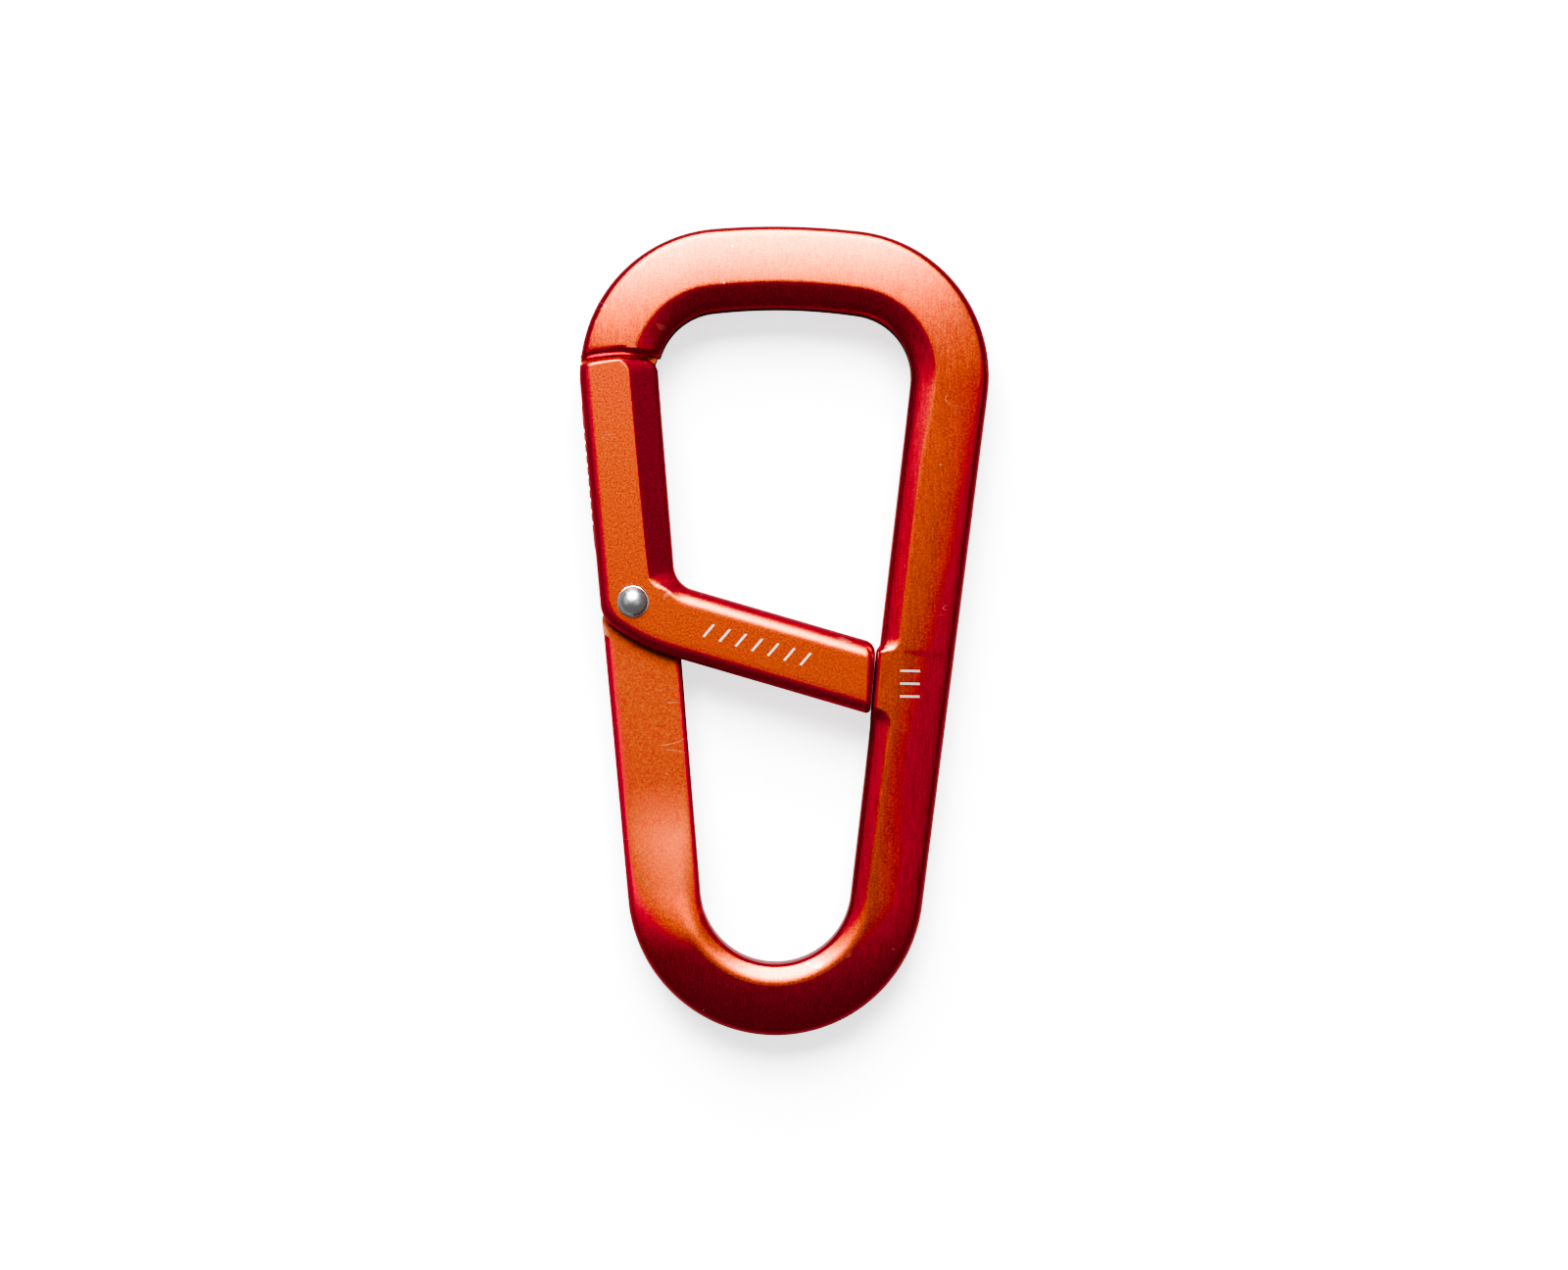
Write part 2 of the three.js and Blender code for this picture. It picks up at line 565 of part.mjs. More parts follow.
// The gate's two edges, each in three stretches that pair up: upper arm, elbow and lower arm
function gateEdges(steps) {
  const innerDown = innerRailUp.clone().negate();
  const line = (start, end, count) => {
    const points = [];
    for (let i = 0; i <= count; i += 1) points.push(start.clone().lerp(end, i / count));
    return points;
  };
  // Inside edge
  const innerTop = lineOnCircle(innerRailFoot, innerRailUp, pivot, GATE_REACH);
  const topInward = turned(innerTop.clone().sub(pivot).normalize(), Math.PI / 2);
  const tip = roundCorner(innerTop, topInward, innerDown, GATE_TIP_RADIUS, steps.end);
  const elbowCorner = crossing(innerRailFoot, innerRailUp, armTopStart, armRight);
  const elbow = roundCorner(elbowCorner, innerRailUp, armRight, GATE_ELBOW_RADIUS, steps.elbow);
  const armLeft = armRight.clone().negate();
  const stopDown = stopUp.clone().negate();
  const armTip = roundCorner(armTopEnd, armLeft, stopDown, ARM_TIP_RADIUS, steps.end);
  // Outside edge
  const topShare = noseShares(GATE_REACH).outer;
  const shoulder = [];
  for (let i = 0; i <= steps.end; i += 1) {
    shoulder.push(outlinePoint(outer, "left corner", mix(topShare, 0, i / steps.end)));
  }
  const cornerCentre = along(along(railFoot, railUp, PIVOT_RISE), railIn, GATE_CORNER_RADIUS);
  const height = cornerCentre.clone().sub(armBottomStart).dot(armUp);
  const foot = along(cornerCentre, armUp, -height);
  const spread = GATE_BELLY_RADIUS - GATE_CORNER_RADIUS;
  const reach = Math.sqrt(spread ** 2 - (GATE_BELLY_RADIUS - height) ** 2);
  const bellyCentre = along(along(foot, armRight, reach), armUp, GATE_BELLY_RADIUS);
  const meet = cornerCentre.clone().sub(bellyCentre).angle();
  const cornerStart = Math.PI + outer.taper;
  const lowest = degrees(ARM_ANGLE + 270);
  const corner = arc(cornerCentre, GATE_CORNER_RADIUS, cornerStart, meet, steps.elbow / 2);
  const belly = arc(bellyCentre, GATE_BELLY_RADIUS, meet, lowest, steps.elbow / 2);
  const heel = roundCorner(armBottomEnd, armLeft, stopUp, ARM_HEEL_RADIUS, steps.end);
  const insideUpper = line(tip.at(-1), elbow[0], steps.upper);
  const insideLower = line(elbow.at(-1), armTip[0], steps.lower);
  const outsideUpper = line(shoulder.at(-1), corner[0], steps.upper);
  const outsideLower = line(belly.at(-1), heel[0], steps.lower);
  const joined = (stretches) => stretches.flatMap((points, i) => points.slice(i === 0 ? 0 : 1));
  return {
    inside: joined([tip, insideUpper, elbow, insideLower, armTip]),
    outside: joined([shoulder, outsideUpper, corner, belly, outsideLower, heel]),
  };
}

// Height of the gate's upper surface. The offset runs from the edge towards the loop.
function gateHeight(offset, width, lower, topDistance, endDistance) {
  const bevel = GATE_BEVEL_DROP * Math.max(0, 1 - offset / GATE_BEVEL_WIDTH);
  const round = ovalDrop(offset, ARM_ROUND_WIDTH, ARM_ROUND_DROP);
  const outside = ovalDrop(width - offset, OUTER_ROUND_WIDTH, OUTER_ROUND_DROP);
  const ends = roundDrop(topDistance, TOP_EDGE_RADIUS) + roundDrop(endDistance, ARM_END_RADIUS);
  return HALF - mix(bevel + roundDrop(offset, TOP_EDGE_RADIUS), round, lower) - outside - ends;
}

function gateOffsets(width) {
  const inside = [0, 0.06, 0.25, 0.6, 1.0, ARM_ROUND_WIDTH, GATE_BEVEL_WIDTH];
  const outside = [OUTER_ROUND_WIDTH, 0.7, 0.35, 0.12, 0];
  return [...inside, ...outside.map((offset) => width - offset)];
}

// Number of rows in each stretch of the gate
const GATE_STEPS = { end: 4, upper: 5, elbow: 16, lower: 8 };

function gateRows() {
  const steps = GATE_STEPS;
  const { inside, outside } = gateEdges(steps);
  const elbowStart = steps.end + steps.upper;
  const elbowEnd = elbowStart + steps.elbow;
  const topMiddle = inside[0].clone().lerp(outside[0], 0.5);
  const endMiddle = armTopEnd.clone().lerp(armBottomEnd, 0.5);
  return inside.map((left, i) => {
    const right = outside[i];
    const middle = left.clone().lerp(right, 0.5);
    const lower = ease(i, elbowStart, elbowEnd);
    const top = i < elbowEnd ? topMiddle.distanceTo(middle) : GATE_REACH;
    const end = i < elbowStart ? GATE_REACH : endMiddle.distanceTo(middle);
    const height = (offset, width) => gateHeight(offset, width, lower, top, end);
    return rowBetween(left, right, gateOffsets, height, gapBulge(left, right, top));
  });
}

// The fork's slot: a disc round the tongue's head, and the room that the rail turns into
function forkSlot() {
  const camEnd = camPoint(degrees(GATE_SWING + CAM_OVERRUN));
  const headReach = Math.max(camEnd.distanceTo(pivot), headCorner.distanceTo(pivot));
  const width = TONGUE_THICKNESS + 2 * CHEEK_CLEARANCE;
  const railEdge = crossing(pivot, railIn, innerRailFoot, innerRailUp);
  const swing = degrees(GATE_SWING);
  const open = (p) => p.clone().rotateAround(pivot, swing);
  const down = turned(innerRailUp.clone().negate(), swing);
  const inward = turned(unit(inner.taper), swing);
  const start = along(open(railEdge), inward, SWING_CLEARANCE);
  const farAway = LENGTH / 2;
  const room = [
    start,
    fromPivot(-farAway, 0),
    fromPivot(-farAway, -farAway),
    along(start, down, farAway),
  ];
  return plate(room, width).add(disc(pivot, headReach + SWING_CLEARANCE, width));
}

// The slot in the gate's top for the nose's tongue. Its floor is an arc about the pivot.
const TOP_SLOT_HALF_ANGLE = 20;

function topSlot() {
  const floor = NOSE_REACH - NOSE_TONGUE_LENGTH - NOSE_GAP;
  const width = TONGUE_THICKNESS + 2 * CHEEK_CLEARANCE;
  const left = railUp.angle() + degrees(TOP_SLOT_HALF_ANGLE);
  const right = railUp.angle() - degrees(TOP_SLOT_HALF_ANGLE);
  const top = arc(pivot, NOSE_REACH + GATE_TIP_RADIUS, left, right, GATE_STEPS.end);
  const bottom = arc(pivot, floor, right, left, 2 * GATE_STEPS.elbow);
  return plate([...top, ...bottom].reverse(), width);
}

function springBore() {
  const radius = FOLLOWER_RADIUS + BORE_CLEARANCE;
  const profile = [[0, 0], [radius, 0], [radius, BORE_END], [0, BORE_END]];
  return solid(turnedAlongArm(profile, fromPivot(FOLLOWER_OFFSET, 0)));
}

// Stadium outline in the plane of the gate's outer edge, extruded inwards from a depth
function gripBlock(length, width, depth, proud) {
  const shape = new THREE.Shape();
  const radius = width / 2;
  const straight = length / 2 - radius;
  shape.moveTo(radius, -straight);
  shape.lineTo(radius, straight);
  shape.absarc(0, straight, radius, 0, Math.PI, false);
  shape.lineTo(-radius, -straight);
  shape.absarc(0, -straight, radius, Math.PI, 2 * Math.PI, false);
  const options = { depth: depth + proud, bevelEnabled: false, curveSegments: 8 };
  const geometry = new THREE.ExtrudeGeometry(shape, options);
  geometry.translate(0, 0, -proud);
  geometry.rotateY(Math.PI / 2);
  geometry.rotateZ(outer.taper);
  const centre = fromPivot(-PIVOT_INSET, GRIP_RISE + GRIP_LENGTH / 2);
  geometry.translate(centre.x, centre.y, 0);
  return solid(geometry);
}

function gateSolid() {
  const bushHole = PIN_RADIUS + BUSH_WALL + 2 * PRESS_CLEARANCE;
  return bar(gateRows())
    .subtract(forkSlot())
    .subtract(topSlot())
    .subtract(springBore())
    .subtract(gripBlock(GRIP_LENGTH, GRIP_WIDTH, GRIP_DEPTH, THICKNESS))
    .subtract(disc(pivot, bushHole, 2 * THICKNESS));
}

// ---------------------------------------------------------------- pivot, spring and grip

function pinGeometry() {
  const domeRadius = (PIN_RADIUS ** 2 + DOME_HEIGHT ** 2) / (2 * DOME_HEIGHT);
  const start = Math.asin(PIN_RADIUS / domeRadius);
  const profile = [
    point(0, -HALF),
    point(PIN_RADIUS - PIN_CHAMFER, -HALF),
    point(PIN_RADIUS, PIN_CHAMFER - HALF),
  ];
  const steps = 8;
  for (let i = 0; i < steps; i += 1) {
    const angle = mix(start, 0, i / steps);
    const height = HALF + DOME_HEIGHT - domeRadius * (1 - Math.cos(angle));
    profile.push(point(domeRadius * Math.sin(angle), height));
  }
  profile.push(point(0, HALF + DOME_HEIGHT));
  const geometry = new THREE.LatheGeometry(profile, 48);
  geometry.rotateX(Math.PI / 2);
  geometry.translate(pivot.x, pivot.y, 0);
  return geometry;
}

// A bush reaches from the face of a cheek to its slot. The side is 1 in front and -1 behind.
function bushGeometry(side) {
  const hole = PIN_RADIUS + PRESS_CLEARANCE;
  const rim = hole + BUSH_WALL;
  const slot = TONGUE_THICKNESS / 2 + CHEEK_CLEARANCE;
  const profile = [
    point(hole, slot),
    point(rim, slot),
    point(rim, HALF),
    point(hole, HALF),
    point(hole, slot),
  ];
  const geometry = new THREE.LatheGeometry(profile, 48);
  geometry.rotateX(side * Math.PI / 2);
  geometry.translate(pivot.x, pivot.y, 0);
  return geometry;
}

function followerGeometry() {
  const face = CAM_HEIGHT + RUNNING_CLEARANCE;
  const back = CAM_HEIGHT + FOLLOWER_LENGTH;
  const profile = [
    [0, face],
    [FOLLOWER_RADIUS - FOLLOWER_EDGE, face],
    [FOLLOWER_RADIUS, face + FOLLOWER_EDGE],
    [FOLLOWER_RADIUS, back],
    [SPIGOT_RADIUS, back],
    [SPIGOT_RADIUS, back + SPIGOT_LENGTH],
    [0, back + SPIGOT_LENGTH],
  ];
  return turnedAlongArm(profile, fromPivot(FOLLOWER_OFFSET, 0));
}

// A compression spring along +Y with a closed turn at each end
class SpringCurve extends THREE.Curve {
  getPoint(share) {
    const turn = share * SPRING_TURNS;
    const rise = SPRING_LENGTH - SPRING_WIRE;
    const closed = Math.min(turn, 1) + Math.max(0, turn - SPRING_TURNS + 1);
    const pitched = THREE.MathUtils.clamp(turn - 1, 0, SPRING_TURNS - 2);
    const pitch = (rise - 2 * CLOSED_PITCH) / (SPRING_TURNS - 2);
    const radius = FOLLOWER_RADIUS - SPRING_WIRE / 2;
    const angle = turn * 2 * Math.PI;
    const height = SPRING_WIRE / 2 + closed * CLOSED_PITCH + pitched * pitch;
    return new THREE.Vector3(radius * Math.cos(angle), height, radius * Math.sin(angle));
  }
}

function springGeometry() {
  const section = new THREE.Shape();
  section.absarc(0, 0, SPRING_WIRE / 2, 0, 2 * Math.PI, false);
  const geometry = new THREE.ExtrudeGeometry(section, {
    steps: SPRING_TURNS * 12,
    curveSegments: 3,
    extrudePath: new SpringCurve(),
  });
  geometry.rotateZ(outer.taper);
  const foot = fromPivot(FOLLOWER_OFFSET, CAM_HEIGHT + FOLLOWER_LENGTH + SPRING_CLEARANCE);
  geometry.translate(foot.x, foot.y, 0);
  return geometry;
}

// The grip strip is a little smaller than its pocket, and ribbed across the thumb's way
function gripSolid() {
  const gap = 2 * PRESS_CLEARANCE;
  let strip = gripBlock(GRIP_LENGTH - 2 * gap, GRIP_WIDTH - 2 * gap, GRIP_DEPTH - gap, GRIP_PROUD);
  const ribs = Math.floor((GRIP_LENGTH - GRIP_WIDTH) / GRIP_RIB_PITCH);
  const span = (ribs - 1) * GRIP_RIB_PITCH;
  for (let i = 0; i < ribs; i += 1) {
    const rise = GRIP_RISE + GRIP_LENGTH / 2 - span / 2 + i * GRIP_RIB_PITCH;
    const groove = new THREE.CylinderGeometry(GRIP_RIB_DEPTH, GRIP_RIB_DEPTH, THICKNESS, 8);
    groove.rotateX(Math.PI / 2);
    const at = fromPivot(-PIVOT_INSET - GRIP_PROUD, rise);
    groove.translate(at.x, at.y, 0);
    strip = strip.subtract(solid(groove));
  }
  return strip;
}

// ---------------------------------------------------------------- finishes and assembly

const metal = (color, roughness) => new THREE.MeshStandardMaterial({ color, roughness, metalness: 1 });
const anodised = metal(0xe0521a, 0.38);
const anodisedGate = metal(0xdd5a1e, 0.42);
const polishedSteel = metal(0xd4d4d6, 0.15);
const springSteel = metal(0x9a9ca0, 0.3);

const assembly = new THREE.Group();
assembly.position.z = HALF;

function addPiece(name, geometry, material) {
  const mesh = new THREE.Mesh(geometry, material);
  mesh.name = name;
  assembly.add(mesh);
}

addPiece("frame", geometryOf(frameSolid()), anodised);
addPiece("gate", geometryOf(gateSolid()), anodisedGate);
addPiece("pivot_pin", pinGeometry(), polishedSteel);
addPiece("pin_bush_front", bushGeometry(1), polishedSteel);
addPiece("pin_bush_rear", bushGeometry(-1), polishedSteel);
addPiece("spring_follower", followerGeometry(), polishedSteel);
addPiece("gate_spring", springGeometry(), springSteel);
addPiece("thumb_grip", geometryOf(gripSolid()), anodisedGate);

const carabiner = new THREE.Group();
carabiner.add(assembly);

export default carabiner;
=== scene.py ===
# %% [markdown]
# # A carabiner keyring
# The real object is a small machined carabiner. One aluminium bar runs from the nose, over the
# crown, down the spine, round the bend and up the left rail. An L-shaped gate turns on a steel pin
# at the rail's end: its upper arm shuts the upper loop, and its lower arm divides that loop from
# the lower one. The CAD frame already holds every piece at its true size, with the gate's hinge.
# This script gives each piece a finely shaped mesh and a finish that looks like the real metal.

# %% Load the frame
import json
import math

import bmesh
import bpy
import numpy as np
from mathutils import Matrix, Vector


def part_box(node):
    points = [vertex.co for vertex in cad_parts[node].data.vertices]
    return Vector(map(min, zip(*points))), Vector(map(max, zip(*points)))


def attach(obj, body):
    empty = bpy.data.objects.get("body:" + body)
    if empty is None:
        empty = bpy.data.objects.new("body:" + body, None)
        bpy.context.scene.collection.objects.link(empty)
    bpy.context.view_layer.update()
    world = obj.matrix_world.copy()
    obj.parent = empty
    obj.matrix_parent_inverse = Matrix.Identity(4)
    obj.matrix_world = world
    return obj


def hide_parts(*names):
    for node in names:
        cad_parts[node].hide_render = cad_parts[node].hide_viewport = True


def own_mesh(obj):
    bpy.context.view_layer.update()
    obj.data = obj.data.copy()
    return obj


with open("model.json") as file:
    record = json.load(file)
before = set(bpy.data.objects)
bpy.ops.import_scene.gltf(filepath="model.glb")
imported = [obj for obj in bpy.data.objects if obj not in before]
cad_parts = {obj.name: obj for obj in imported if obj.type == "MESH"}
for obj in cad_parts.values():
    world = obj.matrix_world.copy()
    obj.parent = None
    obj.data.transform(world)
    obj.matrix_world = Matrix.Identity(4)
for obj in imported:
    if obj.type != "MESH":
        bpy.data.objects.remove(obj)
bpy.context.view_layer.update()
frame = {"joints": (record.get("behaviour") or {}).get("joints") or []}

# %% [markdown]
# ## Sizes
# Every position starts from the frame: the outline's length, width and thickness come from the box
# of the CAD node, and the pivot comes from the hinge. The other sizes are what a machinist would
# read off the drawing, in millimetres times MM, because Blender works in metres here.

# %% Read the driving sizes off the frame
MM = 0.001
low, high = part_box("frame")
LENGTH = high.y - low.y
WIDTH = high.x - low.x
BOTTOM = low.y
HALF = (high.z - low.z) / 2
joints = {joint["name"]: joint for joint in frame["joints"]}
PIVOT = np.array(joints["gate_swing"]["pos_m"][:2])
print(f"outline {LENGTH / MM:.2f} x {WIDTH / MM:.2f} mm, pivot at {PIVOT / MM} mm")

# %% [markdown]
# ## Plane geometry
# Both edges of the bar are the same kind of closed loop: a bend, two straight sides, two corners
# and a slightly bowed crown, each tangent to the next. A point on a loop is named by its stretch
# and a share from 0 to 1, so that an outer and an inner point are easy to pair.

# %% Small helpers for points in the plane
def unit(angle):
    """The direction at that angle from +X."""
    return np.array([math.cos(angle), math.sin(angle)])


def mix(a, b, share):
    return a + (b - a) * share


def ease(value, start, end):
    """0 before start, 1 after end, and a smooth S between them."""
    share = np.clip((value - start) / (end - start), 0, 1)
    return share * share * (3 - 2 * share)


def distance(a, b):
    return float(np.linalg.norm(np.asarray(a) - np.asarray(b)))


def angle_of(vector):
    return math.atan2(vector[1], vector[0])


def crossing(p, d, q, e):
    """Where the line from p along d meets the line from q along e."""
    reach = (q[0] - p[0]) * e[1] - (q[1] - p[1]) * e[0]
    return p + d * reach / (d[0] * e[1] - d[1] * e[0])


def around_steps(sides):
    """Angles all the way round, without the last one, which is the first again."""
    return np.linspace(0, 2 * math.pi, sides + 1)[:-1]


def arc(centre, radius, start, end, shares):
    return [centre + radius * unit(mix(start, end, share)) for share in shares]


# %% The closed outline of a loop
class Loop:
    """A bend, straight sides, corners and a bowed crown, all tangent."""

    def __init__(self, length, width, bottom, bend_radius, corner_radius, crown_radius):
        self.bend_radius = bend_radius
        self.corner_radius = corner_radius
        self.crown_radius = crown_radius
        self.bend = np.array([0, bottom + bend_radius])
        self.crown = np.array([0, bottom + length - crown_radius])
        corner_x = width / 2 - corner_radius
        spread = crown_radius - corner_radius
        corner_y = self.crown[1] + math.sqrt(spread**2 - corner_x**2)
        self.left_corner = np.array([-corner_x, corner_y])
        self.right_corner = np.array([corner_x, corner_y])
        rise = corner_y - self.bend[1]
        lean = math.asin((corner_radius - bend_radius) / math.hypot(corner_x, rise))
        self.taper = math.atan2(corner_x, rise) + lean
        self.crown_half = math.asin(corner_x / spread)
        self.corner_sweep = math.pi / 2 + self.taper - self.crown_half

    def point(self, stretch, share):
        """A point of the outline, clockwise from the left side's top."""
        top = math.pi / 2
        right = unit(-self.taper)
        left = unit(math.pi + self.taper)
        if stretch == "left corner":
            angle = math.pi + self.taper - self.corner_sweep * share
            return self.left_corner + self.corner_radius * unit(angle)
        if stretch == "crown":
            return self.crown + self.crown_radius * unit(top + self.crown_half * (1 - 2 * share))
        if stretch == "right corner":
            angle = top - self.crown_half - self.corner_sweep * share
            return self.right_corner + self.corner_radius * unit(angle)
        if stretch == "spine":
            start = self.right_corner + self.corner_radius * right
            return mix(start, self.bend + self.bend_radius * right, share)
        if stretch == "bend":
            angle = mix(-self.taper, self.taper - math.pi, share)
            return self.bend + self.bend_radius * unit(angle)
        start = self.bend + self.bend_radius * left
        return mix(start, self.left_corner + self.corner_radius * left, share)


# %% The outer and the inner edge of the bar
BEND_RADIUS = 12.8 * MM
CORNER_RADIUS = 12.6 * MM
CROWN_RADIUS = 64 * MM
CROWN_BAR = 7.1 * MM
SIDE_BAR = 6.72 * MM
BEND_BAR = 6.25 * MM
INNER_CORNER_RADIUS = 5.4 * MM
INNER_CROWN_RADIUS = 48 * MM

outer = Loop(LENGTH, WIDTH, BOTTOM, BEND_RADIUS, CORNER_RADIUS, CROWN_RADIUS)
inner = Loop(
    LENGTH - CROWN_BAR - BEND_BAR,
    WIDTH - 2 * SIDE_BAR,
    BOTTOM + BEND_BAR,
    BEND_RADIUS - BEND_BAR,
    INNER_CORNER_RADIUS,
    INNER_CROWN_RADIUS,
)
rail_up = unit(math.pi / 2 + outer.taper)
rail_in = unit(outer.taper)
rail_foot = outer.point("rail", 0)
inner_rail_foot = inner.point("rail", 0)
inner_rail_up = unit(math.pi / 2 + inner.taper)
PIVOT_RISE = float((PIVOT - rail_foot) @ rail_up)
PIVOT_INSET = float((PIVOT - rail_foot) @ rail_in)
print(f"the sides lean {math.degrees(outer.taper):.2f} degrees, pivot {PIVOT_INSET / MM:.2f} mm in")


def from_pivot(inward, up):
    """A point in the gate's own directions: towards the loop, and up the rail."""
    return PIVOT + rail_in * inward + rail_up * up


# %% [markdown]
# ## Meshes from rows
# The bar could be a curve with a bevel profile, but its section changes all the way round: the
# bevel inside the loop widens over the crown, fades out at the stop and the rail is milled thin.
# So the bar is lofted instead. Each station gives one row of points over the upper face, from the
# left edge to the right one, and the lower face mirrors it, as both faces are cut alike.

# %% Turn rows of points into a closed mesh
def new_object(name, points, faces):
    """A mesh object whose faces all point outwards."""
    mesh = bpy.data.meshes.new(name)
    mesh.from_pydata([tuple(p) for p in points], [], faces)
    shape = bmesh.new()
    shape.from_mesh(mesh)
    bmesh.ops.recalc_face_normals(shape, faces=shape.faces)
    shape.to_mesh(mesh)
    shape.free()
    piece = bpy.data.objects.new(name, mesh)
    bpy.context.collection.objects.link(piece)
    return piece


def tube_faces(count, around, capped=True, closed=False):
    """Quads between rings of points. The tube has a face over each end, or closes on itself."""
    faces = []
    for i in range(count if closed else count - 1):
        this, following = i * around, (i + 1) % count * around
        for j in range(around):
            k = (j + 1) % around
            faces.append((this + j, this + k, following + k, following + j))
    if capped:
        faces.append(tuple(range(around)))
        faces.append(tuple(range((count - 1) * around, count * around)))
    return faces


def bar_object(name, rows):
    """Rows are (left point, right point, bow, offsets, heights). Each becomes a ring of points."""
    points = []
    for left, right, bow, offsets, heights in rows:
        width = distance(left, right)
        share = (offsets / width)[:, None]
        plan = mix(left, right, share) + 4 * share * (1 - share) * bow * rail_up
        upper = np.column_stack([plan, HALF + heights])
        lower = np.column_stack([plan, HALF - heights])[::-1]
        points.extend(upper)
        points.extend(lower)
    around = 2 * len(rows[0][3])
    faces = tube_faces(len(rows), around, capped=False)
    last = (len(rows) - 1) * around
    for j in range(around // 2 - 1):
        below = around - 1 - j
        faces.append((j, j + 1, below - 1, below))
        faces.append((last + j, last + j + 1, last + below - 1, last + below))
    return new_object(name, points, faces)


# %% Flat plates, and joining or cutting one solid with another
def plate(name, outline, thickness):
    """A flat plate about the mid-plane. Rings near its rims keep the wear on its edges narrow."""
    levels = (-1, -0.92, -0.6, 0, 0.6, 0.92, 1)
    points = [(x, y, HALF + level * thickness / 2) for level in levels for x, y in outline]
    return new_object(name, points, tube_faces(len(levels), len(outline)))


def apply_modifiers(piece):
    """Makes the modified mesh the piece's own."""
    depsgraph = bpy.context.evaluated_depsgraph_get()
    final = bpy.data.meshes.new_from_object(piece.evaluated_get(depsgraph))
    piece.modifiers.clear()
    old = piece.data
    piece.data = final
    bpy.data.meshes.remove(old)


def combine(body, operation, tools):
    """Joins body with tools (UNION) or cuts them out of it (DIFFERENCE)."""
    for tool in tools:
        change = body.modifiers.new("cut", "BOOLEAN")
        change.operation = operation
        change.solver = "EXACT"
        change.object = tool
        apply_modifiers(body)
        bpy.data.objects.remove(tool)


def finish_shading(piece, sharp_degrees=32):
    """Smooth shading, kept crisp where two faces meet at a real edge."""
    for face in piece.data.polygons:
        face.use_smooth = True
    piece.data.set_sharp_from_angle(angle=math.radians(sharp_degrees))


# %% [markdown]
# ## Section of the bar
# Across the frame's bar there is a bevel inside the loop, a narrow flat crest and a broad face
# that falls away towards the outside. Heights are worked out from the distance to either edge.
# Where two cuts meet, a soft minimum leaves the small radius that tumbling gives a machined part.

# %% Heights over the bar
def round_drop(inset, width, drop=None):
    """How far a rounded edge lies below its face, at a distance in from the edge."""
    share = np.clip(inset / width, 0, 1)
    return (width if drop is None else drop) * (1 - np.sqrt(1 - (1 - share) ** 2))


def soft_min(a, b, radius):
    """The lower of two heights, with a round of about that size where they cross."""
    near = np.maximum(radius - np.abs(a - b), 0)
    return np.minimum(a, b) - near**2 / (4 * radius)


def edge_spacing(radius, steps):
    """Insets from an edge, close together at the edge, as a fillet needs."""
    return radius * (1 - np.cos(np.linspace(0, math.pi / 2, steps + 1)))


BEVEL_DROP = 0.9 * MM
CREST_WIDTH = 0.5 * MM
CROWN_CREST_WIDTH = 0.12 * MM
LOW_CREST_WIDTH = 0.1 * MM
LOW_FACE_DROP = 1.3 * MM
LOW_CUT_ROUND = 0.2 * MM
BEND_CUT_ROUND = 0.32 * MM
FACE_DROP = 0.9 * MM
OUTER_ROUND = 0.6 * MM
OUTER_DROP = 0.85 * MM
INNER_DROP = 0.45 * MM
CUT_ROUND = 0.07 * MM
MILL_ROUND = 1.1 * MM


def frame_offsets(width, bevel):
    """Where the section is sampled, from the outer edge to the inner one."""
    outside = edge_spacing(OUTER_ROUND, 7)
    crest = width - max(bevel, 1.2 * MM) - CREST_WIDTH
    face = np.linspace(OUTER_ROUND, crest, 12)[1:-1]
    top = crest + np.array([-0.18, -0.08, 0, 0.1, 0.25, 0.4, 0.5, 0.58, 0.68, 0.85]) * MM
    inside = width - edge_spacing(0.9 * MM, 9)[::-1]
    return np.concatenate([outside, face, top, inside])


def frame_height(offset, width, bevel, bevel_full, inner_round, shape, milled, end):
    """Height of the frame's face above the mid-plane."""
    crest, face_drop, cut_round, power = shape
    inside = width - offset
    crest_line = bevel_full + crest
    outside = np.clip((inside - crest_line) / (width - crest_line), 0, 1)
    face = HALF - face_drop * outside**power
    slope = HALF - BEVEL_DROP * (bevel - inside) / bevel_full
    height = soft_min(face, slope, cut_round)
    height = soft_min(height, np.full_like(height, milled), MILL_ROUND)
    edges = round_drop(offset, OUTER_ROUND, OUTER_DROP) + round_drop(inside, inner_round, INNER_DROP)
    return height - edges - round_drop(end, OUTER_ROUND)


# %% [markdown]
# ## The stop and the lower arm
# The gate's lower arm rests against a low boss on the spine. The bevel runs out on both sides of
# the boss in the quarter circle that a round cutter leaves, which shows as two small crescents.

# %% Where the lower arm and its stop lie
ARM_ANGLE = math.radians(-15.3)
ARM_ABOVE_PIVOT = 2.45 * MM
ARM_BELOW_PIVOT = 3.61 * MM
STOP_PROUD_TOP = 0.25 * MM
STOP_PROUD_BOTTOM = 0.08 * MM
STOP_BLEND = 0.6 * MM
STOP_GAP = 0.1 * MM
BEVEL_RUNOUT = 1.4 * MM

arm_right = unit(ARM_ANGLE)
arm_up = unit(ARM_ANGLE + math.pi / 2)
arm_top_start = PIVOT + arm_up * ARM_ABOVE_PIVOT
arm_bottom_start = PIVOT - arm_up * ARM_BELOW_PIVOT
spine_top = inner.point("spine", 0)
spine_up = unit(math.pi / 2 - inner.taper)
into_loop = unit(math.pi - inner.taper)
stop_top = crossing(arm_top_start, arm_right, spine_top, spine_up)
stop_bottom = crossing(arm_bottom_start, arm_right, spine_top, spine_up)


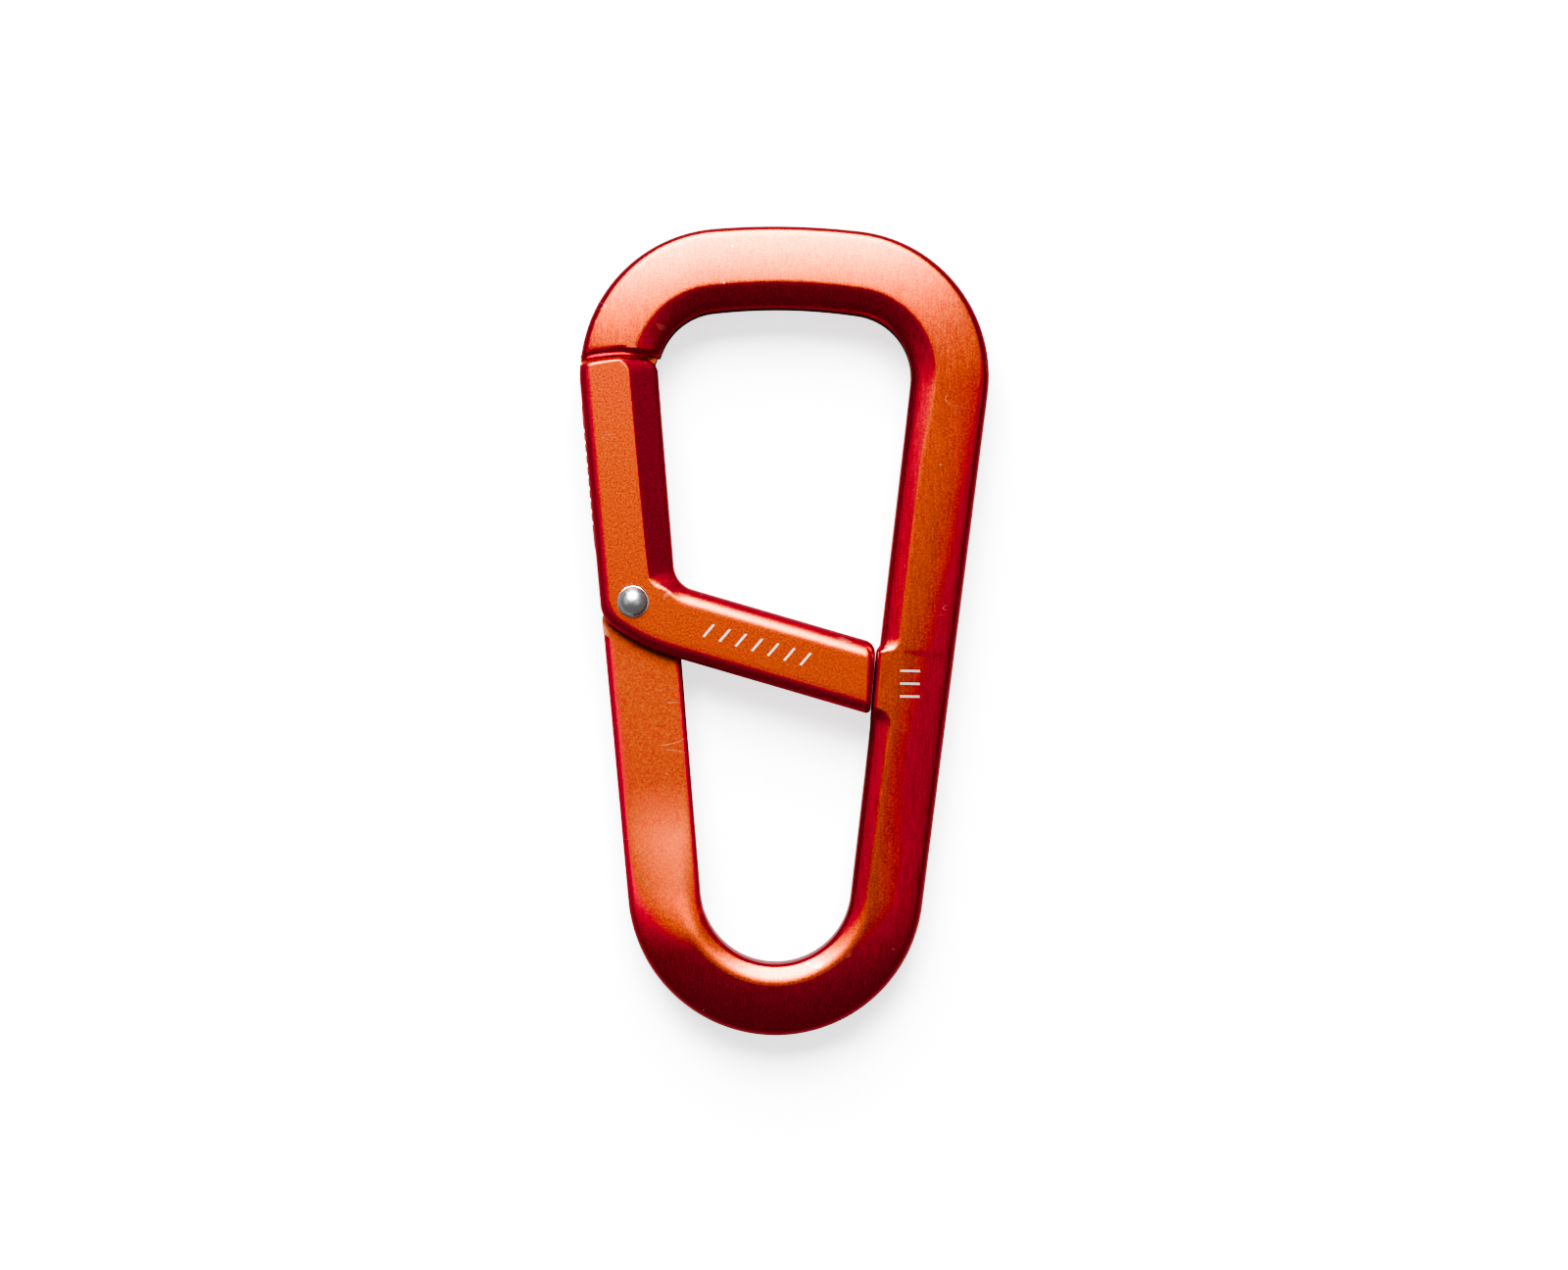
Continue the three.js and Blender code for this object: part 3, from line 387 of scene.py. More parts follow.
def stop_proud(y):
    share = (y - stop_bottom[1]) / (stop_top[1] - stop_bottom[1])
    rise = ease(y, stop_bottom[1] - 2 * STOP_BLEND, stop_bottom[1])
    fall = 1 - ease(y, stop_top[1] - STOP_BLEND, stop_top[1])
    return mix(STOP_PROUD_BOTTOM, STOP_PROUD_TOP, share) * rise * fall


def bevel_left(y):
    """Share of the bevel that is left beside the stop: 1 away from it and 0 on it."""
    upper = (y - stop_top[1] + STOP_BLEND) / BEVEL_RUNOUT
    lower = (stop_bottom[1] - y + STOP_BLEND) / BEVEL_RUNOUT
    out = np.clip(max(upper, lower), 0, 1)
    return math.sqrt(1 - (1 - out) ** 2)


print(f"the stop runs from y {stop_bottom[1] / MM:.2f} to {stop_top[1] / MM:.2f} mm")

# %% [markdown]
# ## The frame's bar
# The rows start at the nose, whose end is an arc about the pivot so that the gate can swing past
# it, and follow the outline to the tongue. The bevel is widest over the crown, and the outer face
# falls at its most even slope there, so those two change slowly with the height along the part.

# %% Loft the bar
NOSE_ANGLE = math.radians(9.8)
NOSE_GAP = 0.25 * MM
GAP_FADE = 4 * MM
NOSE_REACH = distance(outer.point("left corner", NOSE_ANGLE / outer.corner_sweep), PIVOT)
GATE_REACH = NOSE_REACH - NOSE_GAP
HEAD_RADIUS = 2.5 * MM
TONGUE_THICKNESS = 2.8 * MM
RAMP_START = -5.0 * MM
RAMP_END = 10.0 * MM
RAMP_FOOT_EASE = 2.0 * MM
RAMP_TOP_EASE = 5.0 * MM
CROWN_FROM_TO = (12 * MM, 24 * MM)
BEND_TO_FROM = (-24 * MM, -16 * MM)
LOWER_TO_FROM = (-14 * MM, 10 * MM)
SIDE_BEVEL, CROWN_BEVEL, BEND_BEVEL = 1.6 * MM, 2.15 * MM, 1.45 * MM
SIDE_INNER_ROUND, CROWN_INNER_ROUND, BEND_INNER_ROUND = 0.5 * MM, 1.15 * MM, 0.35 * MM
SIDE_POWER, CROWN_POWER, LOW_POWER, BEND_POWER = 1.9, 1.1, 1.05, 1.35


def share_at_reach(loop, reach):
    """Share of the left corner at which a loop is that far from the pivot."""
    low_share, high_share = 0.0, 1.0
    for _ in range(50):
        middle = (low_share + high_share) / 2
        if distance(loop.point("left corner", middle), PIVOT) < reach:
            low_share = middle
        else:
            high_share = middle
    return low_share


def gap_bow(left, right, from_gap):
    """How far a row bows to follow the arc of the gap, fading with the distance from it."""
    half = distance(left, right) / 2
    return (GATE_REACH - math.sqrt(GATE_REACH**2 - half**2)) * (1 - ease(from_gap, 0, GAP_FADE))


def frame_row(left, right, bevel_share=1.0, milled=HALF, end=HALF):
    """One station of the bar. Its section depends on how far up the part it is."""
    y = right[1]
    crown = ease(y, *CROWN_FROM_TO)
    bend = 1 - ease(y, *BEND_TO_FROM)
    lower = 1 - ease(y, *LOWER_TO_FROM)
    bevel_full = mix(mix(SIDE_BEVEL, CROWN_BEVEL, crown), BEND_BEVEL, bend)
    inner_round = mix(mix(SIDE_INNER_ROUND, CROWN_INNER_ROUND, crown), BEND_INNER_ROUND, bend)
    power = mix(mix(SIDE_POWER, CROWN_POWER, crown), LOW_POWER, lower)
    shape = (
        mix(mix(CREST_WIDTH, CROWN_CREST_WIDTH, crown), LOW_CREST_WIDTH, lower),
        mix(FACE_DROP, LOW_FACE_DROP, lower),
        mix(mix(CUT_ROUND, LOW_CUT_ROUND, lower), BEND_CUT_ROUND, bend),
        mix(power, BEND_POWER, bend),
    )
    width = distance(left, right)
    offsets = frame_offsets(width, bevel_full)
    bevel = bevel_full * bevel_share
    heights = frame_height(offsets, width, bevel, bevel_full, inner_round, shape, milled, end)
    bow = gap_bow(left, right, end) if end < HALF else 0
    return left, right, bow, offsets, heights


def milled_height(rise):
    """Half thickness left beside the tongue: full in the bend, then an even slope down to it."""
    along = np.clip(rise - RAMP_START, 0, RAMP_END - RAMP_START)
    steep = RAMP_END - RAMP_START - RAMP_TOP_EASE
    starting = min(along, RAMP_FOOT_EASE) ** 2 / (2 * RAMP_FOOT_EASE)
    running = np.clip(along - RAMP_FOOT_EASE, 0, steep - RAMP_FOOT_EASE)
    left = max(along - steep, 0)
    ending = left - left**2 / (2 * RAMP_TOP_EASE)
    whole = steep - RAMP_FOOT_EASE / 2 + RAMP_TOP_EASE / 2
    return mix(HALF, TONGUE_THICKNESS / 2, (starting + running + ending) / whole)


def frame_rows():
    rows = []
    start_outer = share_at_reach(outer, NOSE_REACH)
    start_inner = share_at_reach(inner, NOSE_REACH)
    sweep = INNER_CORNER_RADIUS * inner.corner_sweep
    for end in edge_spacing(OUTER_ROUND, 7)[:-1]:
        left = outer.point("left corner", start_outer + end / CORNER_RADIUS)
        right = inner.point("left corner", start_inner + end / INNER_CORNER_RADIUS)
        rows.append(frame_row(left, right, end=end))
    first = OUTER_ROUND / sweep
    for share in np.linspace(0, 1, 40)[:-1]:
        left = outer.point("left corner", mix(start_outer + OUTER_ROUND / CORNER_RADIUS, 1, share))
        right = inner.point("left corner", mix(start_inner + first, 1, share))
        end = OUTER_ROUND + share * GAP_FADE * 3
        _, _, _, offsets, heights = frame_row(left, right)
        rows.append((left, right, gap_bow(left, right, end), offsets, heights))
    for stretch, steps in (("crown", 30), ("right corner", 48)):
        for share in np.linspace(0, 1, steps + 1)[:-1]:
            rows.append(frame_row(outer.point(stretch, share), inner.point(stretch, share)))
    for share in spine_shares():
        edge = inner.point("spine", share)
        proud = edge + into_loop * stop_proud(edge[1])
        rows.append(frame_row(outer.point("spine", share), proud, bevel_share=bevel_left(edge[1])))
    bend_length = (BEND_RADIUS - BEND_BAR / 2) * (math.pi - 2 * outer.taper)
    for share in np.linspace(0, 1, 73)[:-1]:
        milled = milled_height(bend_length * (share - 1))
        rows.append(frame_row(outer.point("bend", share), inner.point("bend", share), milled=milled))
    for rise in np.linspace(0, PIVOT_RISE - HEAD_RADIUS, 70):
        left = rail_foot + rail_up * rise
        right = inner_rail_foot + inner_rail_up * rise
        rows.append(frame_row(left, right, milled=milled_height(rise)))
    return rows


def spine_shares():
    """Shares down the spine, close together beside the stop."""
    top, bottom = spine_top[1], inner.point("spine", 1)[1]
    shares, y = [], top
    reach = BEVEL_RUNOUT + STOP_BLEND
    while y > bottom:
        shares.append((top - y) / (top - bottom))
        near = min(abs(y - stop_top[1]), abs(y - stop_bottom[1])) < reach
        y -= (0.09 if near else 0.6) * MM
    return shares


frame_bar = bar_object("frame_bar", frame_rows())
print(f"bar of {len(frame_bar.data.vertices)} points")

# %% [markdown]
# ## Tongue, cam and nose
# At its upper end the rail is a thin tongue with a round head. The gate straddles it like a fork.
# Part of the head's edge is a cam: an involute, which lifts the spring's follower by the same
# amount for each degree of swing. The nose has a short tongue too, which stands in a slot in the
# gate's top and keeps the gate from being pushed sideways.

# %% Add the tongue's head and the nose's tongue, then bore the pivot hole
CAM_RADIUS = 1.6 * MM
CAM_HEIGHT = 2.6 * MM
CAM_OVERRUN = math.radians(3)
GATE_SWING = math.radians(30)
HEAD_STEP = 0.04 * MM
HEAD_OVERLAP = 1.0 * MM
HEAD_CORNER_RISE = 0.7 * MM
HEAD_SHOULDER = math.radians(140)
NOSE_TONGUE_LENGTH = 0.75 * MM
NOSE_TONGUE_INSET = math.radians(1.2)
PIN_RADIUS = 1.2 * MM
RUNNING_CLEARANCE = 0.05 * MM
FINE_SIDES = 96


def cam_point(swing):
    """The cam's edge where it touches the follower after that much swing."""
    lift = CAM_HEIGHT + CAM_RADIUS * swing
    inward = CAM_RADIUS * math.cos(swing) + lift * math.sin(swing)
    up = -CAM_RADIUS * math.sin(swing) + lift * math.cos(swing)
    return from_pivot(inward, up)


head_corner = inner_rail_foot + inner_rail_up * (PIVOT_RISE + HEAD_CORNER_RISE)


def tongue_head():
    """Plan outline of the head, down to where it meets the rail."""
    rail_end = PIVOT_RISE - HEAD_RADIUS
    cam_start = (HEAD_RADIUS - CAM_HEIGHT) / CAM_RADIUS
    points = [
        rail_foot + rail_up * (rail_end - HEAD_OVERLAP) + rail_in * HEAD_OVERLAP,
        rail_foot + rail_up * rail_end,
        rail_foot + rail_up * (PIVOT_RISE + rail_end) / 2,
    ]
    for share in np.linspace(0, 1, 25):
        angle = mix(HEAD_SHOULDER, math.pi / 2 - cam_start, share)
        points.append(from_pivot(HEAD_RADIUS * math.cos(angle), HEAD_RADIUS * math.sin(angle)))
    for share in np.linspace(0, 1, 25)[1:]:
        points.append(cam_point(mix(cam_start, GATE_SWING + CAM_OVERRUN, share)))
    inner_end = inner_rail_foot + inner_rail_up * rail_end
    sunk = inner_rail_foot + inner_rail_up * (rail_end - HEAD_OVERLAP) - rail_in * HEAD_OVERLAP
    return [*points, head_corner, inner_end, sunk]


def nose_tongue():
    """Plan outline of the tongue in front of the nose, between two arcs about the pivot."""
    outer_tip = outer.point("left corner", share_at_reach(outer, NOSE_REACH))
    inner_tip = inner.point("left corner", share_at_reach(inner, NOSE_REACH))
    left = angle_of(outer_tip - PIVOT) - NOSE_TONGUE_INSET / 4
    right = angle_of(inner_tip - PIVOT)
    shares = np.linspace(0, 1, 25)
    tip = arc(PIVOT, NOSE_REACH - NOSE_TONGUE_LENGTH, left, right + NOSE_TONGUE_INSET, shares)
    root = arc(PIVOT, NOSE_REACH + OUTER_ROUND, right + NOSE_TONGUE_INSET / 6, left, shares)
    return tip + root


def circle(radius):
    """A circle about the pivot."""
    shares = np.linspace(0, 1, FINE_SIDES + 1)[:-1]
    return arc(PIVOT, radius, 0, 2 * math.pi, shares)


def pin_hole(name, radius):
    return plate(name, circle(radius), 3 * HALF)


head = plate("head", tongue_head(), TONGUE_THICKNESS - HEAD_STEP)
lip = plate("lip", nose_tongue(), TONGUE_THICKNESS)
combine(frame_bar, "UNION", [head, lip])
combine(frame_bar, "DIFFERENCE", [pin_hole("tongue_hole", PIN_RADIUS + RUNNING_CLEARANCE)])
finish_shading(frame_bar)
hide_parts("frame")
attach(frame_bar, "frame")
print(f"frame_bar: {len(frame_bar.data.polygons)} faces")

# %% [markdown]
# ## The gate
# The gate is an L. Its upper arm carries on the bar of the frame, and its lower arm crosses the
# loop to the stop. It is lofted the same way. The rows pair a point of the inside edge with one of
# the outside edge: over the top corner, down the arm, round the elbow and out to the arm's end.

# %% The gate's two edges
GATE_CORNER_RADIUS = 2.7 * MM
GATE_BELLY_RADIUS = 16 * MM
GATE_ELBOW_RADIUS = 2.3 * MM
GATE_TIP_RADIUS = 1.1 * MM
ARM_TIP_RADIUS = 1.2 * MM
ARM_HEEL_RADIUS = 0.4 * MM

stop_face_top = stop_top + into_loop * (STOP_PROUD_TOP + STOP_GAP)
stop_face_bottom = stop_bottom + into_loop * (STOP_PROUD_BOTTOM + STOP_GAP)
stop_up = (stop_face_top - stop_face_bottom) / distance(stop_face_top, stop_face_bottom)
arm_top_end = crossing(arm_top_start, arm_right, stop_face_bottom, stop_up)
arm_bottom_end = crossing(arm_bottom_start, arm_right, stop_face_bottom, stop_up)


def round_corner(corner, to_first, to_second, radius, shares):
    """A round corner between two lines that meet at a point, from the first to the second."""
    half = math.acos(np.clip(to_first @ to_second, -1, 1)) / 2
    middle = (to_first + to_second) / np.linalg.norm(to_first + to_second)
    centre = corner + middle * radius / math.sin(half)
    start = angle_of(corner + to_first * radius / math.tan(half) - centre)
    end = angle_of(corner + to_second * radius / math.tan(half) - centre)
    sweep = (end - start + math.pi) % (2 * math.pi) - math.pi
    return arc(centre, radius, start, start + sweep, shares)


def line(start, end, shares):
    return [mix(start, end, share) for share in shares]


def joined(stretches):
    """Stretches of points in one list, without the points that they share."""
    points = list(stretches[0])
    for stretch in stretches[1:]:
        points.extend(stretch[1:])
    return points


TOP_SHARES = np.linspace(0, 1, 19) ** 1.6
ARM_SHARES = np.linspace(0, 1, 25)
ELBOW_SHARES = np.linspace(0, 1, 49)
LOWER_SHARES = np.linspace(0, 1, 33)
END_SHARES = 1 - TOP_SHARES[::-1]


def inside_edge():
    offset = inner_rail_foot - PIVOT
    half = float(offset @ inner_rail_up)
    rise = -half + math.sqrt(half**2 - offset @ offset + GATE_REACH**2)
    top = inner_rail_foot + inner_rail_up * rise
    inward = np.array([-(top - PIVOT)[1], (top - PIVOT)[0]]) / GATE_REACH
    tip = round_corner(top, inward, -inner_rail_up, GATE_TIP_RADIUS, TOP_SHARES)
    corner = crossing(inner_rail_foot, inner_rail_up, arm_top_start, arm_right)
    elbow = round_corner(corner, inner_rail_up, arm_right, GATE_ELBOW_RADIUS, ELBOW_SHARES)
    end = round_corner(arm_top_end, -arm_right, -stop_up, ARM_TIP_RADIUS, END_SHARES)
    upper = line(tip[-1], elbow[0], ARM_SHARES)
    lower = line(elbow[-1], end[0], LOWER_SHARES)
    return joined([tip, upper, elbow, lower, end])


def outside_edge():
    top_share = share_at_reach(outer, GATE_REACH)
    shoulder = [outer.point("left corner", top_share * (1 - share)) for share in TOP_SHARES]
    centre = rail_foot + rail_up * PIVOT_RISE + rail_in * GATE_CORNER_RADIUS
    height = float((centre - arm_bottom_start) @ arm_up)
    spread = GATE_BELLY_RADIUS - GATE_CORNER_RADIUS
    reach = math.sqrt(spread**2 - (GATE_BELLY_RADIUS - height) ** 2)
    belly_centre = centre + arm_right * reach + arm_up * (GATE_BELLY_RADIUS - height)
    meet = angle_of(centre - belly_centre) % (2 * math.pi)
    corner = arc(centre, GATE_CORNER_RADIUS, math.pi + outer.taper, meet, ELBOW_SHARES[::2])
    lowest = ARM_ANGLE + 1.5 * math.pi
    belly = arc(belly_centre, GATE_BELLY_RADIUS, meet, lowest, ELBOW_SHARES[::2])
    heel = round_corner(arm_bottom_end, -arm_right, stop_up, ARM_HEEL_RADIUS, END_SHARES)
    upper = line(shoulder[-1], corner[0], ARM_SHARES)
    lower = line(belly[-1], heel[0], LOWER_SHARES)
    return joined([shoulder, upper, corner, belly, lower, heel])


# %% [markdown]
# ## Section of the gate
# The upper arm has a flat face, a wide bevel towards the loop and a round outer edge. Round the
# elbow the bevel turns into a full round, so that the lower arm is soft on both sides. Keys slide
# along it.

# %% Loft the gate
GATE_BEVEL_WIDTH = 2.4 * MM
GATE_BEVEL_DROP = 1.3 * MM
ELBOW_BEVEL_WIDTH = 1.25 * MM
ARM_ROUND_WIDTH = 1.5 * MM
ARM_ROUND_DROP = 1.7 * MM
OUTER_ROUND_WIDTH = 1.1 * MM
OUTER_ROUND_DROP = 1.0 * MM
TOP_EDGE_RADIUS = 0.25 * MM
ARM_END_RADIUS = 0.8 * MM
BEVEL_SOFTNESS = 0.05 * MM


def gate_offsets(width):
    inside = edge_spacing(ARM_ROUND_WIDTH, 16)
    beyond = np.array([1.7, 1.95, 2.15, 2.28, 2.36, 2.42, 2.5, 2.62]) * MM
    flat = np.linspace(2.62 * MM, width - OUTER_ROUND_WIDTH, 6)[1:-1]
    outside = width - edge_spacing(OUTER_ROUND_WIDTH, 12)[::-1]
    return np.concatenate([inside, beyond, flat, outside])


def gate_height(offset, width, steep, lower, top, end):
    """Height of the gate's face above the mid-plane. The offset runs from the inside edge."""
    slope = -GATE_BEVEL_DROP * (1 - offset / mix(GATE_BEVEL_WIDTH, ELBOW_BEVEL_WIDTH, steep))
    bevel = -soft_min(slope, np.zeros_like(slope), BEVEL_SOFTNESS) + round_drop(offset, TOP_EDGE_RADIUS)
    round_edge = round_drop(offset, ARM_ROUND_WIDTH, ARM_ROUND_DROP)
    outside = round_drop(width - offset, OUTER_ROUND_WIDTH, OUTER_ROUND_DROP)
    ends = round_drop(top, TOP_EDGE_RADIUS) + round_drop(end, ARM_END_RADIUS)
    return HALF - mix(bevel, round_edge, lower) - outside - ends


def gate_rows():
    inside, outside = inside_edge(), outside_edge()
    elbow_start = len(TOP_SHARES) + len(ARM_SHARES) - 2
    elbow_end = elbow_start + len(ELBOW_SHARES) - 1
    top_middle = mix(inside[0], outside[0], 0.5)
    end_middle = mix(inside[-1], outside[-1], 0.5)
    rows = []
    for i, (left, right) in enumerate(zip(inside, outside, strict=True)):
        middle = mix(left, right, 0.5)
        steep = ease(i, elbow_start - 6, elbow_start + 30)
        lower = ease(i, elbow_start + 12, elbow_end + 4)
        top = distance(top_middle, middle) if i < elbow_end else GATE_REACH
        end = distance(end_middle, middle) if i > elbow_start else GATE_REACH
        width = distance(left, right)
        offsets = gate_offsets(width)
        heights = gate_height(offsets, width, steep, lower, top, end)
        rows.append((left, right, gap_bow(left, right, top), offsets, heights))
    return rows


gate_arms = bar_object("gate_arms", gate_rows())
print(f"gate of {len(gate_arms.data.vertices)} points")

# %% [markdown]
# ## Slots, bore and pocket in the gate
# The gate is cut like the real one: a fork slot for the tongue, a slot in the top for the nose's
# tongue, a bore along the upper arm for the spring and its follower, a shallow pocket for the
# thumb grip, and a hole through both cheeks for the bushes.

# %% Cut the gate
CHEEK_CLEARANCE = 0.1 * MM
SWING_CLEARANCE = 0.15 * MM
PRESS_CLEARANCE = 0.02 * MM
BORE_CLEARANCE = 0.15 * MM
BUSH_WALL = 0.13 * MM
FOLLOWER_RADIUS = 1.15 * MM
FOLLOWER_OVERLAP = 0.25 * MM
SPRING_END_WALL = 4.3 * MM
SLOT_WIDTH = TONGUE_THICKNESS + 2 * CHEEK_CLEARANCE
FOLLOWER_OFFSET = CAM_RADIUS + FOLLOWER_OVERLAP - FOLLOWER_RADIUS
BORE_END = GATE_REACH - SPRING_END_WALL
TOP_SLOT_HALF = math.radians(20)
THINNEST = 0.0001 * MM
UP = (0, 0, 1)


def rotated(vector, angle):
    cosine, sine = math.cos(angle), math.sin(angle)
    return np.array([cosine * vector[0] - sine * vector[1], sine * vector[0] + cosine * vector[1]])


def fork_slot():
    """A round room for the head, and the room that the rail turns into as the gate opens."""
    reach = max(distance(cam_point(GATE_SWING + CAM_OVERRUN), PIVOT), distance(head_corner, PIVOT))
    edge = crossing(PIVOT, rail_in, inner_rail_foot, inner_rail_up)
    edge = PIVOT + rotated(edge - PIVOT, GATE_SWING)
    start = edge + rotated(unit(inner.taper), GATE_SWING) * SWING_CLEARANCE
    down = rotated(-inner_rail_up, GATE_SWING)
    far = LENGTH / 2
    room = [start, from_pivot(-far, 0), from_pivot(-far, -far), start + down * far]
    bowl = circle(reach + SWING_CLEARANCE)
    return [plate("room", room, SLOT_WIDTH), plate("bowl", bowl, SLOT_WIDTH)]


def top_slot():
    floor = NOSE_REACH - NOSE_TONGUE_LENGTH - NOSE_GAP
    left = angle_of(rail_up) + TOP_SLOT_HALF
    right = angle_of(rail_up) - TOP_SLOT_HALF
    shares = np.linspace(0, 1, 65)
    bottom = arc(PIVOT, floor, right, left, shares)
    top = arc(PIVOT, NOSE_REACH + GATE_TIP_RADIUS, left, right, [0, 1])
    return plate("top_slot", bottom + top, SLOT_WIDTH)


def stand(piece, foot, axis):
    """Puts a piece that was made along +Z on a foot, along an axis."""
    turn = Vector(UP).rotation_difference(Vector(axis)).to_matrix().to_4x4()
    piece.data.transform(Matrix.Translation(Vector(foot)) @ turn)


def turned(name, profile, foot, axis, sides=64):
    """A turned solid. The profile is (radius, height) pairs from end to end of the axis."""
    steps = around_steps(sides)
    profile = [(max(radius, THINNEST), height) for radius, height in profile]
    points = [(r * math.cos(a), r * math.sin(a), h) for r, h in profile for a in steps]
    piece = new_object(name, points, tube_faces(len(profile), sides))
    stand(piece, foot, axis)
    return piece


ARM_AXIS = (rail_up[0], rail_up[1], 0)
bore_foot = (*from_pivot(FOLLOWER_OFFSET, 0), HALF)
bore_radius = FOLLOWER_RADIUS + BORE_CLEARANCE
bore = turned("bore", [(bore_radius, 0), (bore_radius, BORE_END)], bore_foot, ARM_AXIS)
combine(gate_arms, "DIFFERENCE", [*fork_slot(), top_slot(), bore])
combine(gate_arms, "DIFFERENCE", [pin_hole("bush_hole", PIN_RADIUS + BUSH_WALL + 2 * PRESS_CLEARANCE)])
print(f"gate_arms: {len(gate_arms.data.polygons)} faces after cutting")
finish_shading(gate_arms)
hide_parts("gate")
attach(gate_arms, "gate")

# %% [markdown]
# ## Pivot pin and its bushes
# The pin is a turned steel rod with a domed front end. It is pressed through two thin bushes, one
# in each cheek of the gate, whose polished rims show as fine bright rings. A turned piece is a
# profile swept round an axis. One short function makes the pin and the follower, which are solid,
# and another makes the bushes, which have a hole.

# %% Turn the pin and the bushes
DOME_HEIGHT = 1.0 * MM
DOME_EDGE = math.radians(52)
PIN_CHAMFER = 0.15 * MM
RIM_ROUND = 0.04 * MM
RIM_MIDDLE = 0.3
pin_foot = (*PIVOT, 0)


def dome_profile():
    """The pin from its rear chamfer to the top of the dome."""
    sphere = PIN_RADIUS / math.sin(DOME_EDGE)
    profile = [(0, 0), (PIN_RADIUS - PIN_CHAMFER, 0), (PIN_RADIUS, PIN_CHAMFER)]
    top = 2 * HALF + DOME_HEIGHT
    for angle in np.linspace(DOME_EDGE, 0, 25):
        profile.append((sphere * math.sin(angle), top - sphere * (1 - math.cos(angle))))
    return profile


def ring(name, hole, rim, bottom, top):
    """A turned ring with rounded rims."""
    inset = RIM_ROUND * RIM_MIDDLE
    profile = [
        (hole, bottom),
        (rim, bottom),
        (rim, top - RIM_ROUND),
        (rim - inset, top - inset),
        (rim - RIM_ROUND, top),
        (hole + RIM_ROUND, top),
        (hole, top - RIM_ROUND),
    ]
    steps = around_steps(FINE_SIDES)
    x, y = PIVOT
    points = [(x + r * math.cos(a), y + r * math.sin(a), h) for a in steps for r, h in profile]
    return new_object(name, points, tube_faces(len(steps), len(profile), capped=False, closed=True))


pivot_dome = turned("pivot_dome", dome_profile(), pin_foot, UP, sides=96)
cheek = HALF - TONGUE_THICKNESS / 2 - CHEEK_CLEARANCE
hole = PIN_RADIUS + PRESS_CLEARANCE
front_bush = ring("front_bush", hole, hole + BUSH_WALL, 2 * HALF - cheek, 2 * HALF)
rear_bush = ring("rear_bush", hole, hole + BUSH_WALL, 0, cheek)
for piece, node, slot in (
    (pivot_dome, "pivot_pin", "polished_steel"),
    (front_bush, "pin_bush_front", "bush_steel"),
    (rear_bush, "pin_bush_rear", "bush_steel"),
):
    finish_shading(piece)
    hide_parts(node)
    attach(piece, "gate")
print(f"dome {PIN_RADIUS * 2 / MM:.2f} mm across, {DOME_HEIGHT / MM:.2f} mm high")

# %% [markdown]
# ## Follower and spring
# Inside the upper arm a flat-faced follower presses on the cam, and a compression spring stands
# behind it round a spigot. The spring is wound from round wire with one closed turn at each end.
# In the real part, as the gate opens, the follower backs into the bore and squashes the spring towards
# the bore's blind end by just its travel. Here the spring is wound at rest and rides with the gate.

# %% Turn the follower and wind the spring
FOLLOWER_LENGTH = 4.2 * MM
FOLLOWER_EDGE = 0.1 * MM
SPIGOT_RADIUS = 0.55 * MM
SPIGOT_LENGTH = 1.6 * MM
SPRING_CLEARANCE = 0.12 * MM
SPRING_WIRE = 0.4 * MM
SPRING_TURNS = 11
CLOSED_PITCH = 0.44 * MM
SPRING_LENGTH = BORE_END - CAM_HEIGHT - FOLLOWER_LENGTH - 2 * SPRING_CLEARANCE

face = CAM_HEIGHT + RUNNING_CLEARANCE
back = CAM_HEIGHT + FOLLOWER_LENGTH
follower_profile = [
    (0, face),
    (FOLLOWER_RADIUS - FOLLOWER_EDGE, face),
    (FOLLOWER_RADIUS, face + FOLLOWER_EDGE),
    (FOLLOWER_RADIUS, back - FOLLOWER_EDGE),
    (FOLLOWER_RADIUS - FOLLOWER_EDGE, back),
    (SPIGOT_RADIUS, back),
    (SPIGOT_RADIUS, back + SPIGOT_LENGTH - FOLLOWER_EDGE),
    (SPIGOT_RADIUS - FOLLOWER_EDGE, back + SPIGOT_LENGTH),
    (0, back + SPIGOT_LENGTH),
]
cam_follower = turned("cam_follower", follower_profile, bore_foot, ARM_AXIS)
finish_shading(cam_follower)
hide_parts("spring_follower")
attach(cam_follower, "follower")


def spring_line(steps_per_turn=28):
    """The wire's centreline, up the arm's axis."""
    radius = FOLLOWER_RADIUS - SPRING_WIRE / 2
    pitch = (SPRING_LENGTH - SPRING_WIRE - 2 * CLOSED_PITCH) / (SPRING_TURNS - 2)
    points = []
    for turn in np.linspace(0, SPRING_TURNS, SPRING_TURNS * steps_per_turn + 1):
        closed = min(turn, 1) + max(0, turn - SPRING_TURNS + 1)
        pitched = np.clip(turn - 1, 0, SPRING_TURNS - 2)
        height = SPRING_WIRE / 2 + closed * CLOSED_PITCH + pitched * pitch
        points.append(np.array([*(radius * unit(turn * 2 * math.pi)), height]))
    return points


def wire(name, centreline, radius, sides=12):
    """A round wire along a line of points."""
    points = []
    for i, middle in enumerate(centreline):
        ahead = centreline[min(i + 1, len(centreline) - 1)] - centreline[max(i - 1, 0)]
        ahead = ahead / np.linalg.norm(ahead)
        outward = np.array([middle[0], middle[1], 0])
        outward = outward - ahead * (outward @ ahead)
        outward = outward / np.linalg.norm(outward)
        other = np.cross(ahead, outward)
        for angle in around_steps(sides):
            points.append(middle + radius * (outward * math.cos(angle) + other * math.sin(angle)))
    return new_object(name, points, tube_faces(len(centreline), sides))


